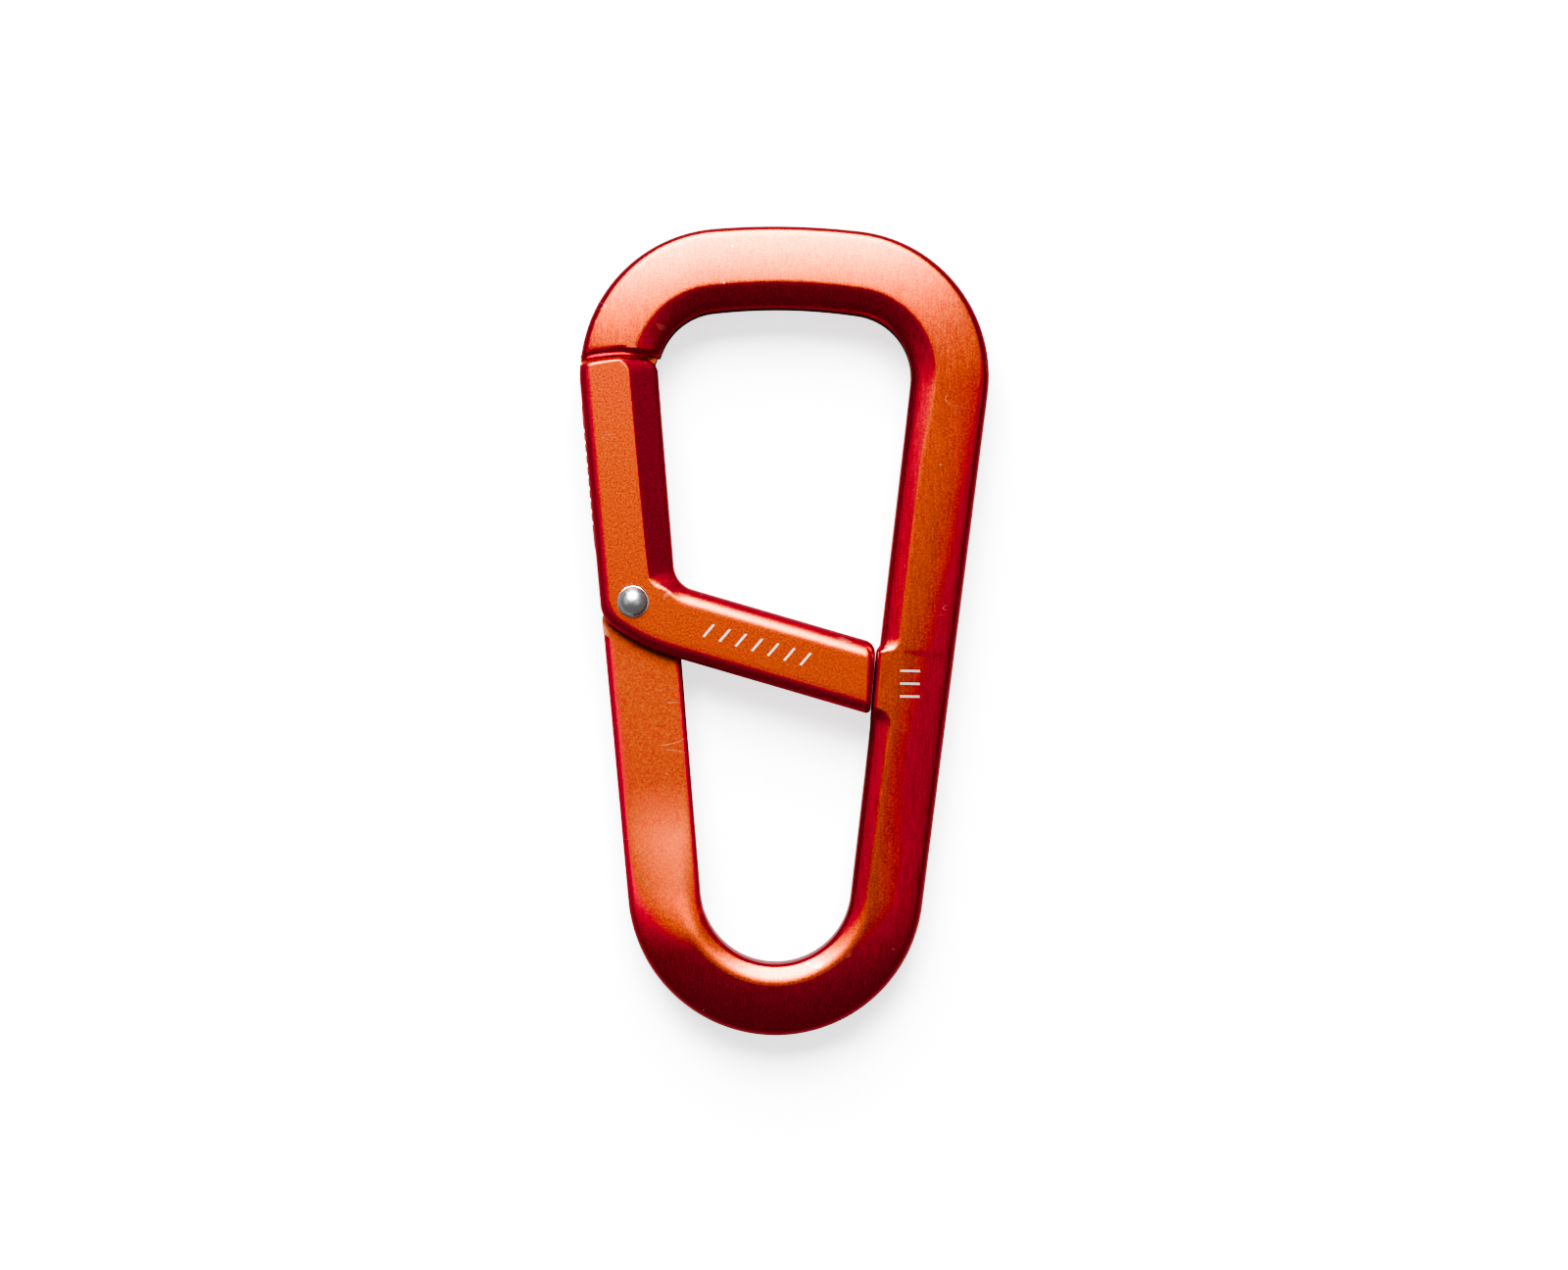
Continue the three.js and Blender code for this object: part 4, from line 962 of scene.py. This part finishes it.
closing_spring = wire("closing_spring", spring_line(), SPRING_WIRE / 2)
spring_foot = (*from_pivot(FOLLOWER_OFFSET, back + SPRING_CLEARANCE), HALF)
stand(closing_spring, spring_foot, ARM_AXIS)
finish_shading(closing_spring, sharp_degrees=60)
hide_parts("gate_spring")
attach(closing_spring, "gate")
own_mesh(closing_spring)

# %% [markdown]
# ## Thumb grip
# A thin strip is let into the outer edge of the upper arm, where the thumb pushes. It stands a
# tenth of a millimetre proud and has shallow grooves across it. Its plan is a slot shape with
# round ends, so it is lofted from rows whose width follows that shape.

# %% Loft the grip
GRIP_RISE = 4.7 * MM
GRIP_TOP_MARGIN = 3.45 * MM
GRIP_WIDTH = 3.2 * MM
GRIP_DEPTH = 0.7 * MM
GRIP_PROUD = 0.09 * MM
GRIP_EDGE = 0.1 * MM
RIB_PITCH = 1.0 * MM
RIB_DEPTH = 0.12 * MM
GRIP_LENGTH = GATE_REACH - GRIP_RISE - GRIP_TOP_MARGIN
GRIP_GAP = 2 * PRESS_CLEARANCE


def slot_shape(name, length, width, bottom, top, ribbed):
    """A strip in the gate's outer edge. Bottom and top are heights out from that edge."""
    radius = width / 2
    straight = length / 2 - radius
    ends = length / 2 - radius + radius * np.sin(np.linspace(0, math.pi / 2, 13))
    middle = np.linspace(-straight, straight, 161)
    along = np.concatenate([-ends[:0:-1], middle, ends[1:]])
    ribs = int((length - width) / RIB_PITCH) if ribbed else 0
    centres = (np.arange(ribs) - (ribs - 1) / 2) * RIB_PITCH
    points, across = [], np.cos(np.linspace(math.pi, 0, 17))
    for at in along:
        over = max(abs(at) - straight, 0)
        half = math.sqrt(max(radius**2 - over**2, (0.02 * radius) ** 2))
        near = np.abs(centres - at).min() if ribs else 1
        groove = RIB_DEPTH * (1 - min(near / (1.6 * RIB_DEPTH), 1) ** 2)
        inset = np.minimum(half * (1 - np.abs(across)), length / 2 - abs(at))
        heights = top - groove - (round_drop(inset, GRIP_EDGE) if ribbed else 0 * inset)
        points.extend((at, share * half, height) for share, height in zip(across, heights))
        points.extend((at, share * half, bottom) for share in across[::-1])
    piece = new_object(name, points, tube_faces(len(along), 2 * len(across)))
    out = Vector((-rail_in[0], -rail_in[1], 0))
    up = Vector(ARM_AXIS)
    centre = Vector((*from_pivot(-PIVOT_INSET, GRIP_RISE + GRIP_LENGTH / 2), HALF))
    turn = Matrix((up, up.cross(out) * -1, out)).transposed().to_4x4()
    piece.data.transform(Matrix.Translation(centre) @ turn)
    return piece


pocket = slot_shape("pocket", GRIP_LENGTH, GRIP_WIDTH, -GRIP_DEPTH, 2 * MM, ribbed=False)
combine(gate_arms, "DIFFERENCE", [pocket])
finish_shading(gate_arms)
thumb_strip = slot_shape(
    "thumb_strip",
    GRIP_LENGTH - 2 * GRIP_GAP,
    GRIP_WIDTH - 2 * GRIP_GAP,
    GRIP_GAP - GRIP_DEPTH,
    GRIP_PROUD,
    ribbed=True,
)
finish_shading(thumb_strip, sharp_degrees=40)
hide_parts("thumb_grip")
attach(thumb_strip, "gate")
print(f"grip {GRIP_LENGTH / MM:.1f} mm long")

# %% [markdown]
# ## Shared surface effects
# Anodised aluminium shows what was done to the metal before it was dyed: a fine bead blast all
# over, and brush lines on the faces that were dressed on a belt. Use adds worn edges, tiny specks
# and a few scratches. Each effect is a node group with named inputs, so that every material takes
# the same effect at its own strength. All of them read the object's own coordinates, which ride
# along when the gate swings.

# %% Helpers for node groups
def feed(tree, node, inputs):
    """Feeds a node's inputs, by name or number, with sockets or plain values."""
    for label, value in inputs.items():
        if isinstance(value, bpy.types.NodeSocket):
            tree.links.new(value, node.inputs[label])
        else:
            node.inputs[label].default_value = value


def add_node(tree, kind, inputs, **settings):
    """Adds a node, sets it up and feeds it."""
    node = tree.nodes.new("ShaderNode" + kind)
    for name, value in settings.items():
        setattr(node, name, value)
    feed(tree, node, inputs)
    return node


def new_group(name, inputs, outputs):
    """An empty shader node group with named float sockets. Inputs are (name, default) pairs."""
    group = bpy.data.node_groups.new(name, "ShaderNodeTree")
    for label, default in inputs:
        socket = group.interface.new_socket(label, in_out="INPUT", socket_type="NodeSocketFloat")
        socket.default_value = default
    for label in outputs:
        group.interface.new_socket(label, in_out="OUTPUT", socket_type="NodeSocketFloat")
    given = group.nodes.new("NodeGroupInput").outputs
    end = group.nodes.new("NodeGroupOutput")
    return group, given, end


def math_node(tree, operation, a, b=0.0, clamp=False):
    """A Math node fed with sockets or plain numbers. Returns its output."""
    return add_node(tree, "Math", {0: a, 1: b}, operation=operation, use_clamp=clamp).outputs[0]


def plus(tree, a, b):
    return math_node(tree, "ADD", a, b)


def minus(tree, a, b):
    return math_node(tree, "SUBTRACT", a, b)


def times(tree, a, b):
    return math_node(tree, "MULTIPLY", a, b)


def object_position(tree, stretch=(1, 1, 1)):
    """The object's own coordinates, stretched along each axis."""
    place = add_node(tree, "TexCoord", {}).outputs["Object"]
    return add_node(tree, "VectorMath", {0: place, 1: stretch}, operation="MULTIPLY").outputs[0]


def split(tree, vector):
    return add_node(tree, "SeparateXYZ", {0: vector}).outputs


def noise(tree, position, scale, detail=2.0, roughness=0.5):
    """A noise texture on a position, with features of one over the scale in metres."""
    inputs = {"Vector": position, "Scale": scale, "Detail": detail, "Roughness": roughness}
    return add_node(tree, "TexNoise", inputs).outputs["Fac"]


def remap(tree, value, low_in, high_in, low_out=0.0, high_out=1.0):
    """Maps a range of values to another, clamped."""
    inputs = {"Value": value, "From Min": low_in, "From Max": high_in}
    inputs |= {"To Min": low_out, "To Max": high_out}
    return add_node(tree, "MapRange", inputs).outputs["Result"]


# %% Bead blast
def build_blast():
    """Fine pits from blasting: a grain of about 0.15 mm over a coarser one."""
    group, given, end = new_group("Bead blast", [("Scale", 6500.0)], ["Height", "Tone"])
    position = object_position(group)
    fine = noise(group, position, given["Scale"], detail=1.0, roughness=0.6)
    coarse = noise(group, position, times(group, given["Scale"], 0.22))
    height = plus(group, fine, times(group, coarse, 0.5))
    feed(group, end, {"Height": height, "Tone": remap(group, fine, 0.28, 0.72)})
    return group


# %% Brush lines
def build_brush():
    """Lines along the part's length, from two noises stretched along Y."""
    group, given, end = new_group("Brush lines", [("Scale", 7500.0)], ["Height", "Tone"])
    narrow = object_position(group, (1, 0.06, 1))
    fine = noise(group, narrow, given["Scale"], detail=1.0, roughness=0.6)
    wide = object_position(group, (1, 0.03, 1))
    broad = noise(group, wide, times(group, given["Scale"], 0.3))
    height = plus(group, fine, times(group, broad, 0.4))
    feed(group, end, {"Height": height, "Tone": remap(group, fine, 0.3, 0.7)})
    return group


# %% Edge wear, specks and scratches
PATCH_SCALE = 900.0
SPECK_PATCH_SCALE = 260.0
HAIR_SCALE = 420.0
HAIR_PATCH_SCALE = 170.0


def build_wear():
    """Masks of rubbed edges, pale specks and hairline scratches."""
    inputs = [("Edge start", 0.53), ("Edge end", 0.6), ("Speck scale", 700.0)]
    group, given, end = new_group("Handling wear", inputs, ["Edge", "Specks", "Scratches"])
    here = object_position(group)
    pointed = add_node(group, "NewGeometry", {}).outputs["Pointiness"]
    edge = remap(group, pointed, given["Edge start"], given["Edge end"])
    patchy = noise(group, here, PATCH_SCALE, detail=3.0)
    rubbed = times(group, edge, remap(group, patchy, 0.35, 0.65))
    cells = add_node(group, "TexVoronoi", {"Vector": here, "Scale": given["Speck scale"]})
    dots = remap(group, cells.outputs["Distance"], 0.1, 0.05)
    few = remap(group, noise(group, here, SPECK_PATCH_SCALE), 0.6, 0.64)
    hair = noise(group, object_position(group, (0.3, 1.0, 0.5)), HAIR_SCALE, detail=1.0)
    thin = math_node(group, "ABSOLUTE", minus(group, hair, 0.5))
    hair_mask = remap(group, thin, 0.0016, 0.0004)
    some = remap(group, noise(group, here, HAIR_PATCH_SCALE), 0.62, 0.66)
    specks = times(group, dots, few)
    scratches = times(group, hair_mask, some)
    feed(group, end, {"Edge": rubbed, "Specks": specks, "Scratches": scratches})
    return group


# %% Painted shade on faces that lean away from the crown
def build_painted_shade():
    """Painted light and shade: 1 on faces that look up or towards the crown, falling to 0, painted
    shade, on faces that lean away.
    """
    inputs = [("Towards crown", 0.35), ("Painted shade below", 0.971), ("Light above", 0.997)]
    group, given, end = new_group("Painted shade by lean", inputs, ["Light"])
    normal = split(group, add_node(group, "TexCoord", {}).outputs["Normal"])
    upright = math_node(group, "ABSOLUTE", normal["Z"])
    crownward = times(group, normal["Y"], given["Towards crown"])
    lean = plus(group, upright, crownward)
    feed(group, end, {"Light": remap(group, lean, given["Painted shade below"], given["Light above"])})
    return group


# %% The milled stretch of the rail
def build_milled():
    """1 on the rail between the bend and the pivot, which was milled and never brushed."""
    inputs = [("Rail edge", -0.0045), ("Lower end", -0.028), ("Upper end", 0.01)]
    group, given, end = new_group("Milled rail", inputs, ["Mask"])
    place = split(group, object_position(group))
    edge = remap(group, minus(group, given["Rail edge"], place["X"]), 0.0, 3 * MM)
    above = remap(group, minus(group, place["Y"], given["Lower end"]), 0.0, 6 * MM)
    below = math_node(group, "LESS_THAN", place["Y"], given["Upper end"])
    feed(group, end, {"Mask": times(group, times(group, edge, above), below)})
    return group


BLAST = build_blast()
BRUSH = build_brush()
WEAR = build_wear()
PAINTED_SHADE = build_painted_shade()
MILLED = build_milled()
print("groups:", [group.name for group in (BLAST, BRUSH, WEAR, PAINTED_SHADE, MILLED)])

# %% [markdown]
# ## Etched marks
# A laser takes the dye off and leaves pale metal. The marks here are plain: a row of short bars on
# the lower arm and three bars on the stop. The group measures the position along and across a row
# of equal bars, so each material only gives the row's place, angle, pitch and number.

# %% A row of etched bars
MARKED_ABOVE = HALF + 0.7 * HALF


def build_bars():
    """Mask of a row of bars. Places and sizes are in metres, and the angle in radians."""
    inputs = [
        ("Centre X", 0.0), ("Centre Y", 0.0), ("Angle", 0.0), ("Pitch", 0.001),
        ("Count", 5.0), ("Half length", 0.0005), ("Half width", 0.0001), ("Slant", 0.0),
    ]
    group, given, end = new_group("Etched bars", inputs, ["Mask"])
    place = split(group, object_position(group))
    x = minus(group, place["X"], given["Centre X"])
    y = minus(group, place["Y"], given["Centre Y"])
    cosine = math_node(group, "COSINE", given["Angle"])
    sine = math_node(group, "SINE", given["Angle"])
    along = plus(group, times(group, x, cosine), times(group, y, sine))
    across = minus(group, times(group, y, cosine), times(group, x, sine))
    slanted = minus(group, along, times(group, across, given["Slant"]))
    steps = math_node(group, "DIVIDE", slanted, given["Pitch"])
    nearest = math_node(group, "ROUND", steps)
    to_bar = math_node(group, "ABSOLUTE", minus(group, steps, nearest))
    on_bar = math_node(group, "LESS_THAN", times(group, to_bar, given["Pitch"]), given["Half width"])
    off_line = math_node(group, "ABSOLUTE", across)
    short = math_node(group, "LESS_THAN", off_line, given["Half length"])
    half_count = math_node(group, "DIVIDE", given["Count"], 2.0)
    in_row = math_node(group, "LESS_THAN", math_node(group, "ABSOLUTE", nearest), half_count)
    front = math_node(group, "GREATER_THAN", place["Z"], MARKED_ABOVE)
    mask = times(group, times(group, on_bar, short), in_row)
    feed(group, end, {"Mask": times(group, mask, front)})
    return group


BARS = build_bars()

# %% [markdown]
# ## Anodised aluminium
# Dye in a clear oxide skin tints what the metal reflects, so the base is a metal with a strong
# orange-red colour, under a thin clear coat that keeps the bright highlights pale. The blast and
# the brush lines move the normal and the roughness a little, and worn edges show lighter metal.
# A painted shade turns faces that lean away from the crown deep crimson, while faces that look up or
# towards the crown keep the dye's orange: shade from one soft light painted into the colour.

# %% Build the anodised finishes
def use_group(material, group, **values):
    """Places a node group in a material with its own input values."""
    node = material.node_tree.nodes.new("ShaderNodeGroup")
    node.node_tree = group
    for label, value in values.items():
        node.inputs[label.replace("_", " ")].default_value = value
    return node


def mix_colour(tree, factor, first, second):
    """Mixes two colours, each a socket or a plain colour."""
    inputs = {"Factor": factor}
    for number, colour in ((6, first), (7, second)):
        inputs[number] = (*colour, 1) if isinstance(colour, tuple) else colour
    return add_node(tree, "Mix", inputs, data_type="RGBA").outputs[2]


def new_material(name, base, metallic=1.0, coat=0.0, coat_roughness=0.2):
    """A material, its node tree and its shader."""
    material = bpy.data.materials.new(name)
    material.use_nodes = True
    tree = material.node_tree
    shader = tree.nodes["Principled BSDF"]
    inputs = {"Base Color": (*base, 1), "Metallic": metallic}
    feed(tree, shader, inputs | {"Coat Weight": coat, "Coat Roughness": coat_roughness})
    return material, tree, shader


def bumped(tree, height, strength):
    """The normal that a height gives, at the depth that fine grain has."""
    inputs = {"Strength": strength, "Distance": GRAIN_DEPTH, "Height": height}
    return add_node(tree, "Bump", inputs).outputs["Normal"]


def dress(piece, finish):
    piece.data.materials.clear()
    piece.data.materials.append(finish)


GRAIN_DEPTH = 0.01 * MM
DYE = (0.62, 0.1, 0.024)
DYE_PALE = (0.8, 0.2, 0.06)
DYE_SHADE = (0.24, 0.018, 0.01)
# The deep crimson that the painted shade gives to faces that lean away from the crown.
DYE_IN_PAINTED_SHADE = (0.7, 0.024, 0.055)
DYE_MILLED = (0.22, 0.046, 0.013)
DYE_GATE = (0.47, 0.078, 0.02)
BARE = (0.9, 0.62, 0.5)
ETCH = (0.86, 0.8, 0.76)
STREAK_SHADE = 0.45
GRAIN_SHADE = 0.6
GRAIN_PALE = 0.4
GRAIN_LEVEL = 0.4
GRAIN_ON_LEAN = 0.35
CLOUD_SCALE = 120.0
CLOUD_DEPTH = 0.15
WORN = 0.2
MARKED = 0.55
BLASTED = 0.33
MILLED_ROUGHER = 0.17
BRUSHED = 0.29
GRAIN_ROUGHER = 0.08
BRUSH_BUMP = 0.5
BUMP_STRENGTH = 0.3


def anodised(name, brush, blast, dye=DYE, bars=(), milled_rail=0.0):
    """The orange finish, with painted shade on faces that lean away from the crown. Brush and blast are
    the strengths of the two grains, from 0 to 1.
    """
    material, tree, shader = new_material(name, DYE, coat=0.2, coat_roughness=0.35)
    pits, lines, wear, lean, milled = (
        use_group(material, group) for group in (BLAST, BRUSH, WEAR, PAINTED_SHADE, MILLED)
    )
    tone = pits.outputs["Tone"]
    on_rail = times(tree, milled.outputs["Mask"], milled_rail)
    brushed = times(tree, minus(tree, 1.0, on_rail), brush)
    cloud = noise(tree, object_position(tree), CLOUD_SCALE, detail=3.0)
    # Painted light: the painted shade mask, lowered by a random cloud and moved by the grain, is 1 on
    # faces that look up or towards the crown and 0 where they lean away.
    painted_light = minus(tree, lean.outputs["Light"], remap(tree, cloud, 0.3, 0.7, 0.0, CLOUD_DEPTH))
    grain = times(tree, minus(tree, tone, GRAIN_LEVEL), GRAIN_ON_LEAN)
    painted_light = math_node(tree, "ADD", painted_light, grain, clamp=True)
    streaks = times(tree, minus(tree, 1.0, lines.outputs["Tone"]), brushed)
    marks = math_node(tree, "MAXIMUM", wear.outputs["Specks"], wear.outputs["Scratches"])
    layers = [
        (times(tree, streaks, STREAK_SHADE), DYE_SHADE),
        (times(tree, minus(tree, 1.0, tone), GRAIN_SHADE * blast), DYE_SHADE),
        # Pale grain is weighted by the painted light, so it shows most where the painted shade is
        # lightest.
        (times(tree, times(tree, tone, painted_light), GRAIN_PALE * blast), DYE_PALE),
        (times(tree, wear.outputs["Edge"], WORN), BARE),
        (times(tree, marks, MARKED), BARE),
    ]
    layers += [(use_group(material, BARS, **row).outputs["Mask"], ETCH) for row in bars]
    # Painted shade: the colour turns from the dye to deep crimson where faces lean away from the crown.
    colour = mix_colour(tree, painted_light, DYE_IN_PAINTED_SHADE, mix_colour(tree, on_rail, dye, DYE_MILLED))
    for amount, tint in layers:
        colour = mix_colour(tree, amount, colour, tint)
    rough = times(tree, brushed, BRUSHED - BLASTED)
    rough = plus(tree, rough, times(tree, tone, GRAIN_ROUGHER * blast))
    rough = plus(tree, rough, BLASTED)
    rough = plus(tree, rough, times(tree, on_rail, MILLED_ROUGHER))
    brush_height = times(tree, lines.outputs["Height"], times(tree, brushed, BRUSH_BUMP))
    height = plus(tree, brush_height, times(tree, pits.outputs["Height"], blast))
    normal = bumped(tree, height, BUMP_STRENGTH)
    feed(tree, shader, {"Base Color": colour, "Roughness": rough, "Normal": normal})
    return material


ARM_MARK_OUT = 11.3 * MM
STOP_MARK_IN = 2.9 * MM
MARK_HALF_WIDTH = 0.1 * MM


def row_of_bars(middle, angle, pitch, count, half_length, slant):
    """Inputs for one row of etched bars."""
    return {
        "Centre_X": float(middle[0]),
        "Centre_Y": float(middle[1]),
        "Angle": angle,
        "Pitch": pitch,
        "Count": count,
        "Half_length": half_length,
        "Half_width": MARK_HALF_WIDTH,
        "Slant": slant,
    }


on_arm = mix(arm_top_start, arm_bottom_start, 0.5) + arm_right * ARM_MARK_OUT
on_stop = mix(stop_top, stop_bottom, 0.5) - into_loop * STOP_MARK_IN
arm_row = row_of_bars(on_arm, ARM_ANGLE, 1.45 * MM, 7.0, 0.62 * MM, 0.45)
stop_row = row_of_bars(on_stop, math.pi / 2, 1.1 * MM, 3.0, 0.85 * MM, 0.0)
frame_finish = anodised("anodised_frame", brush=1.0, blast=0.6, bars=[stop_row], milled_rail=1.0)
gate_finish = anodised("anodised_gate", brush=0.0, blast=0.7, dye=DYE_GATE, bars=[arm_row])
grip_finish = anodised("anodised_grip", brush=0.0, blast=0.8, dye=DYE_GATE)
dress(frame_bar, frame_finish)
dress(gate_arms, gate_finish)
dress(thumb_strip, grip_finish)
print("anodised finishes made")

# %% [markdown]
# ## Steel
# The pin's dome is polished but has been handled, so its reflections are broken by faint mottling.
# The bushes and the follower are turned, and the spring wire is drawn and darker.

# %% Build the steel finishes
STEEL_GRAIN_SCALE = 14000.0
STEEL_DARKER = 0.72


def steel(name, base, roughness, mottle, mottle_scale, bump_strength):
    """Plain steel with mottled roughness and a faint grain."""
    material, tree, shader = new_material(name, base)
    blotches = noise(tree, object_position(tree), mottle_scale, detail=4.0, roughness=0.65)
    rough = plus(tree, remap(tree, blotches, 0.3, 0.7, 0.0, mottle), roughness)
    dark = tuple(STEEL_DARKER * channel for channel in base)
    colour = mix_colour(tree, remap(tree, blotches, 0.45, 0.75, 0.0, 0.8), base, dark)
    pits = use_group(material, BLAST, Scale=STEEL_GRAIN_SCALE)
    normal = bumped(tree, pits.outputs["Height"], bump_strength)
    feed(tree, shader, {"Base Color": colour, "Roughness": rough, "Normal": normal})
    return material


dress(pivot_dome, steel("polished_steel", (0.52, 0.52, 0.53), 0.2, 0.16, 2600.0, 0.8))
bush_finish = steel("bush_steel", (0.78, 0.77, 0.76), 0.14, 0.1, 1500.0, 0.2)
dress(front_bush, bush_finish)
dress(rear_bush, bush_finish)
dress(cam_follower, steel("follower_steel", (0.6, 0.6, 0.61), 0.25, 0.15, 1200.0, 0.3))
dress(closing_spring, steel("spring_steel", (0.5, 0.5, 0.52), 0.28, 0.15, 1600.0, 0.2))
print("steel finishes made")

# %% [markdown]
# ## Floor, light and camera
# The part lies on a seamless white floor. One big soft light stands above it towards the crown and
# reaches from nearly overhead to low down, so surfaces that lean towards the crown shine and those
# that lean away or sideways stay deep red. The camera looks straight down. The floor is a dark
# grey to everything but the camera, so that it doesn't wash the metal's rims out with white.

# %% Floor
FLOOR_SIZE = 6.0
FLOOR_GLOW = 0.38
FLOOR_THICKNESS = 0.01
FLOOR_CLEARANCE = 0.02 * MM
FLOOR_UNSEEN = (0.2, 0.2, 0.2)
FLOOR_SEEN = (0.95, 0.95, 0.95)
floor = plate("floor", [(-1, -1), (1, -1), (1, 1), (-1, 1)], 1.0)
floor.data.transform(Matrix.Diagonal((FLOOR_SIZE / 2, FLOOR_SIZE / 2, FLOOR_THICKNESS, 1)))
floor_top = max(v.co.z for v in floor.data.vertices)
floor.data.transform(Matrix.Translation((0, 0, -floor_top - FLOOR_CLEARANCE)))
floor_finish, floor_tree, floor_shader = new_material("floor_white", (0.92, 0.92, 0.92), metallic=0.0)
seen = add_node(floor_tree, "LightPath", {}).outputs["Is Camera Ray"]
floor_look = {
    "Base Color": mix_colour(floor_tree, seen, FLOOR_UNSEEN, FLOOR_SEEN),
    "Roughness": 0.9,
    "Specular IOR Level": 0.1,
    "Emission Color": (1, 1, 1, 1),
    "Emission Strength": times(floor_tree, seen, FLOOR_GLOW),
}
feed(floor_tree, floor_shader, floor_look)
floor.data.materials.append(floor_finish)

# %% Light
def area_light(name, direction, size_x, size_y, power):
    """A soft panel that faces the part from a direction (x, y, z)."""
    lamp = bpy.data.lights.new(name, "AREA")
    lamp.shape = "RECTANGLE"
    lamp.size = size_x
    lamp.size_y = size_y
    lamp.energy = power
    holder = bpy.data.objects.new(name, lamp)
    bpy.context.collection.objects.link(holder)
    aim = Vector(direction).normalized()
    holder.location = aim * LIGHT_DISTANCE
    holder.rotation_euler = aim.to_track_quat("Z", "X").to_euler()


SOFTBOX_LEAN = math.radians(43)
SOFTBOX_LEFT = -0.1
LEFT_LEAN = math.radians(45)
RIGHT_LEAN = math.radians(27)
LIGHT_DISTANCE = 1.6
WORLD_STRENGTH = 0.12
softbox_way = (SOFTBOX_LEFT, math.sin(SOFTBOX_LEAN), math.cos(SOFTBOX_LEAN))
left_way = (-math.sin(LEFT_LEAN), 0.1, math.cos(LEFT_LEAN))
right_way = (math.sin(RIGHT_LEAN), 0, math.cos(RIGHT_LEAN))
area_light("softbox", softbox_way, 1.22, 1.15, power=48)
area_light("fill_left", left_way, 0.8, 1.2, power=0.6)
area_light("fill_right", right_way, 0.8, 0.8, power=0.45)

world = bpy.data.worlds.new("studio")
bpy.context.scene.world = world
world.use_nodes = True
sky = world.node_tree.nodes["Background"]
feed(world.node_tree, sky, {"Color": (1, 1, 1, 1), "Strength": WORLD_STRENGTH})

# %% Camera
CAMERA_HEIGHT = 0.4
VIEW_WIDTH = 0.136
SENSOR_WIDTH = 36
VIEW_LEAN = math.radians(1.008)
VIEW_CENTRE = (0.00035, -0.00034)
camera_data = bpy.data.cameras.new("camera")
camera_data.sensor_width = SENSOR_WIDTH
camera_data.lens = SENSOR_WIDTH * (CAMERA_HEIGHT - HALF) / VIEW_WIDTH
camera = bpy.data.objects.new("camera", camera_data)
bpy.context.collection.objects.link(camera)
camera.location = (*VIEW_CENTRE, CAMERA_HEIGHT)
camera.rotation_euler = (0, 0, VIEW_LEAN)
bpy.context.scene.camera = camera
view_settings = bpy.context.scene.view_settings
view_settings.view_transform = "AgX"
view_settings.look = "AgX - Very High Contrast"
view_settings.exposure = 1.0
print(f"camera {CAMERA_HEIGHT} m up with a {camera_data.lens:.0f} mm lens")
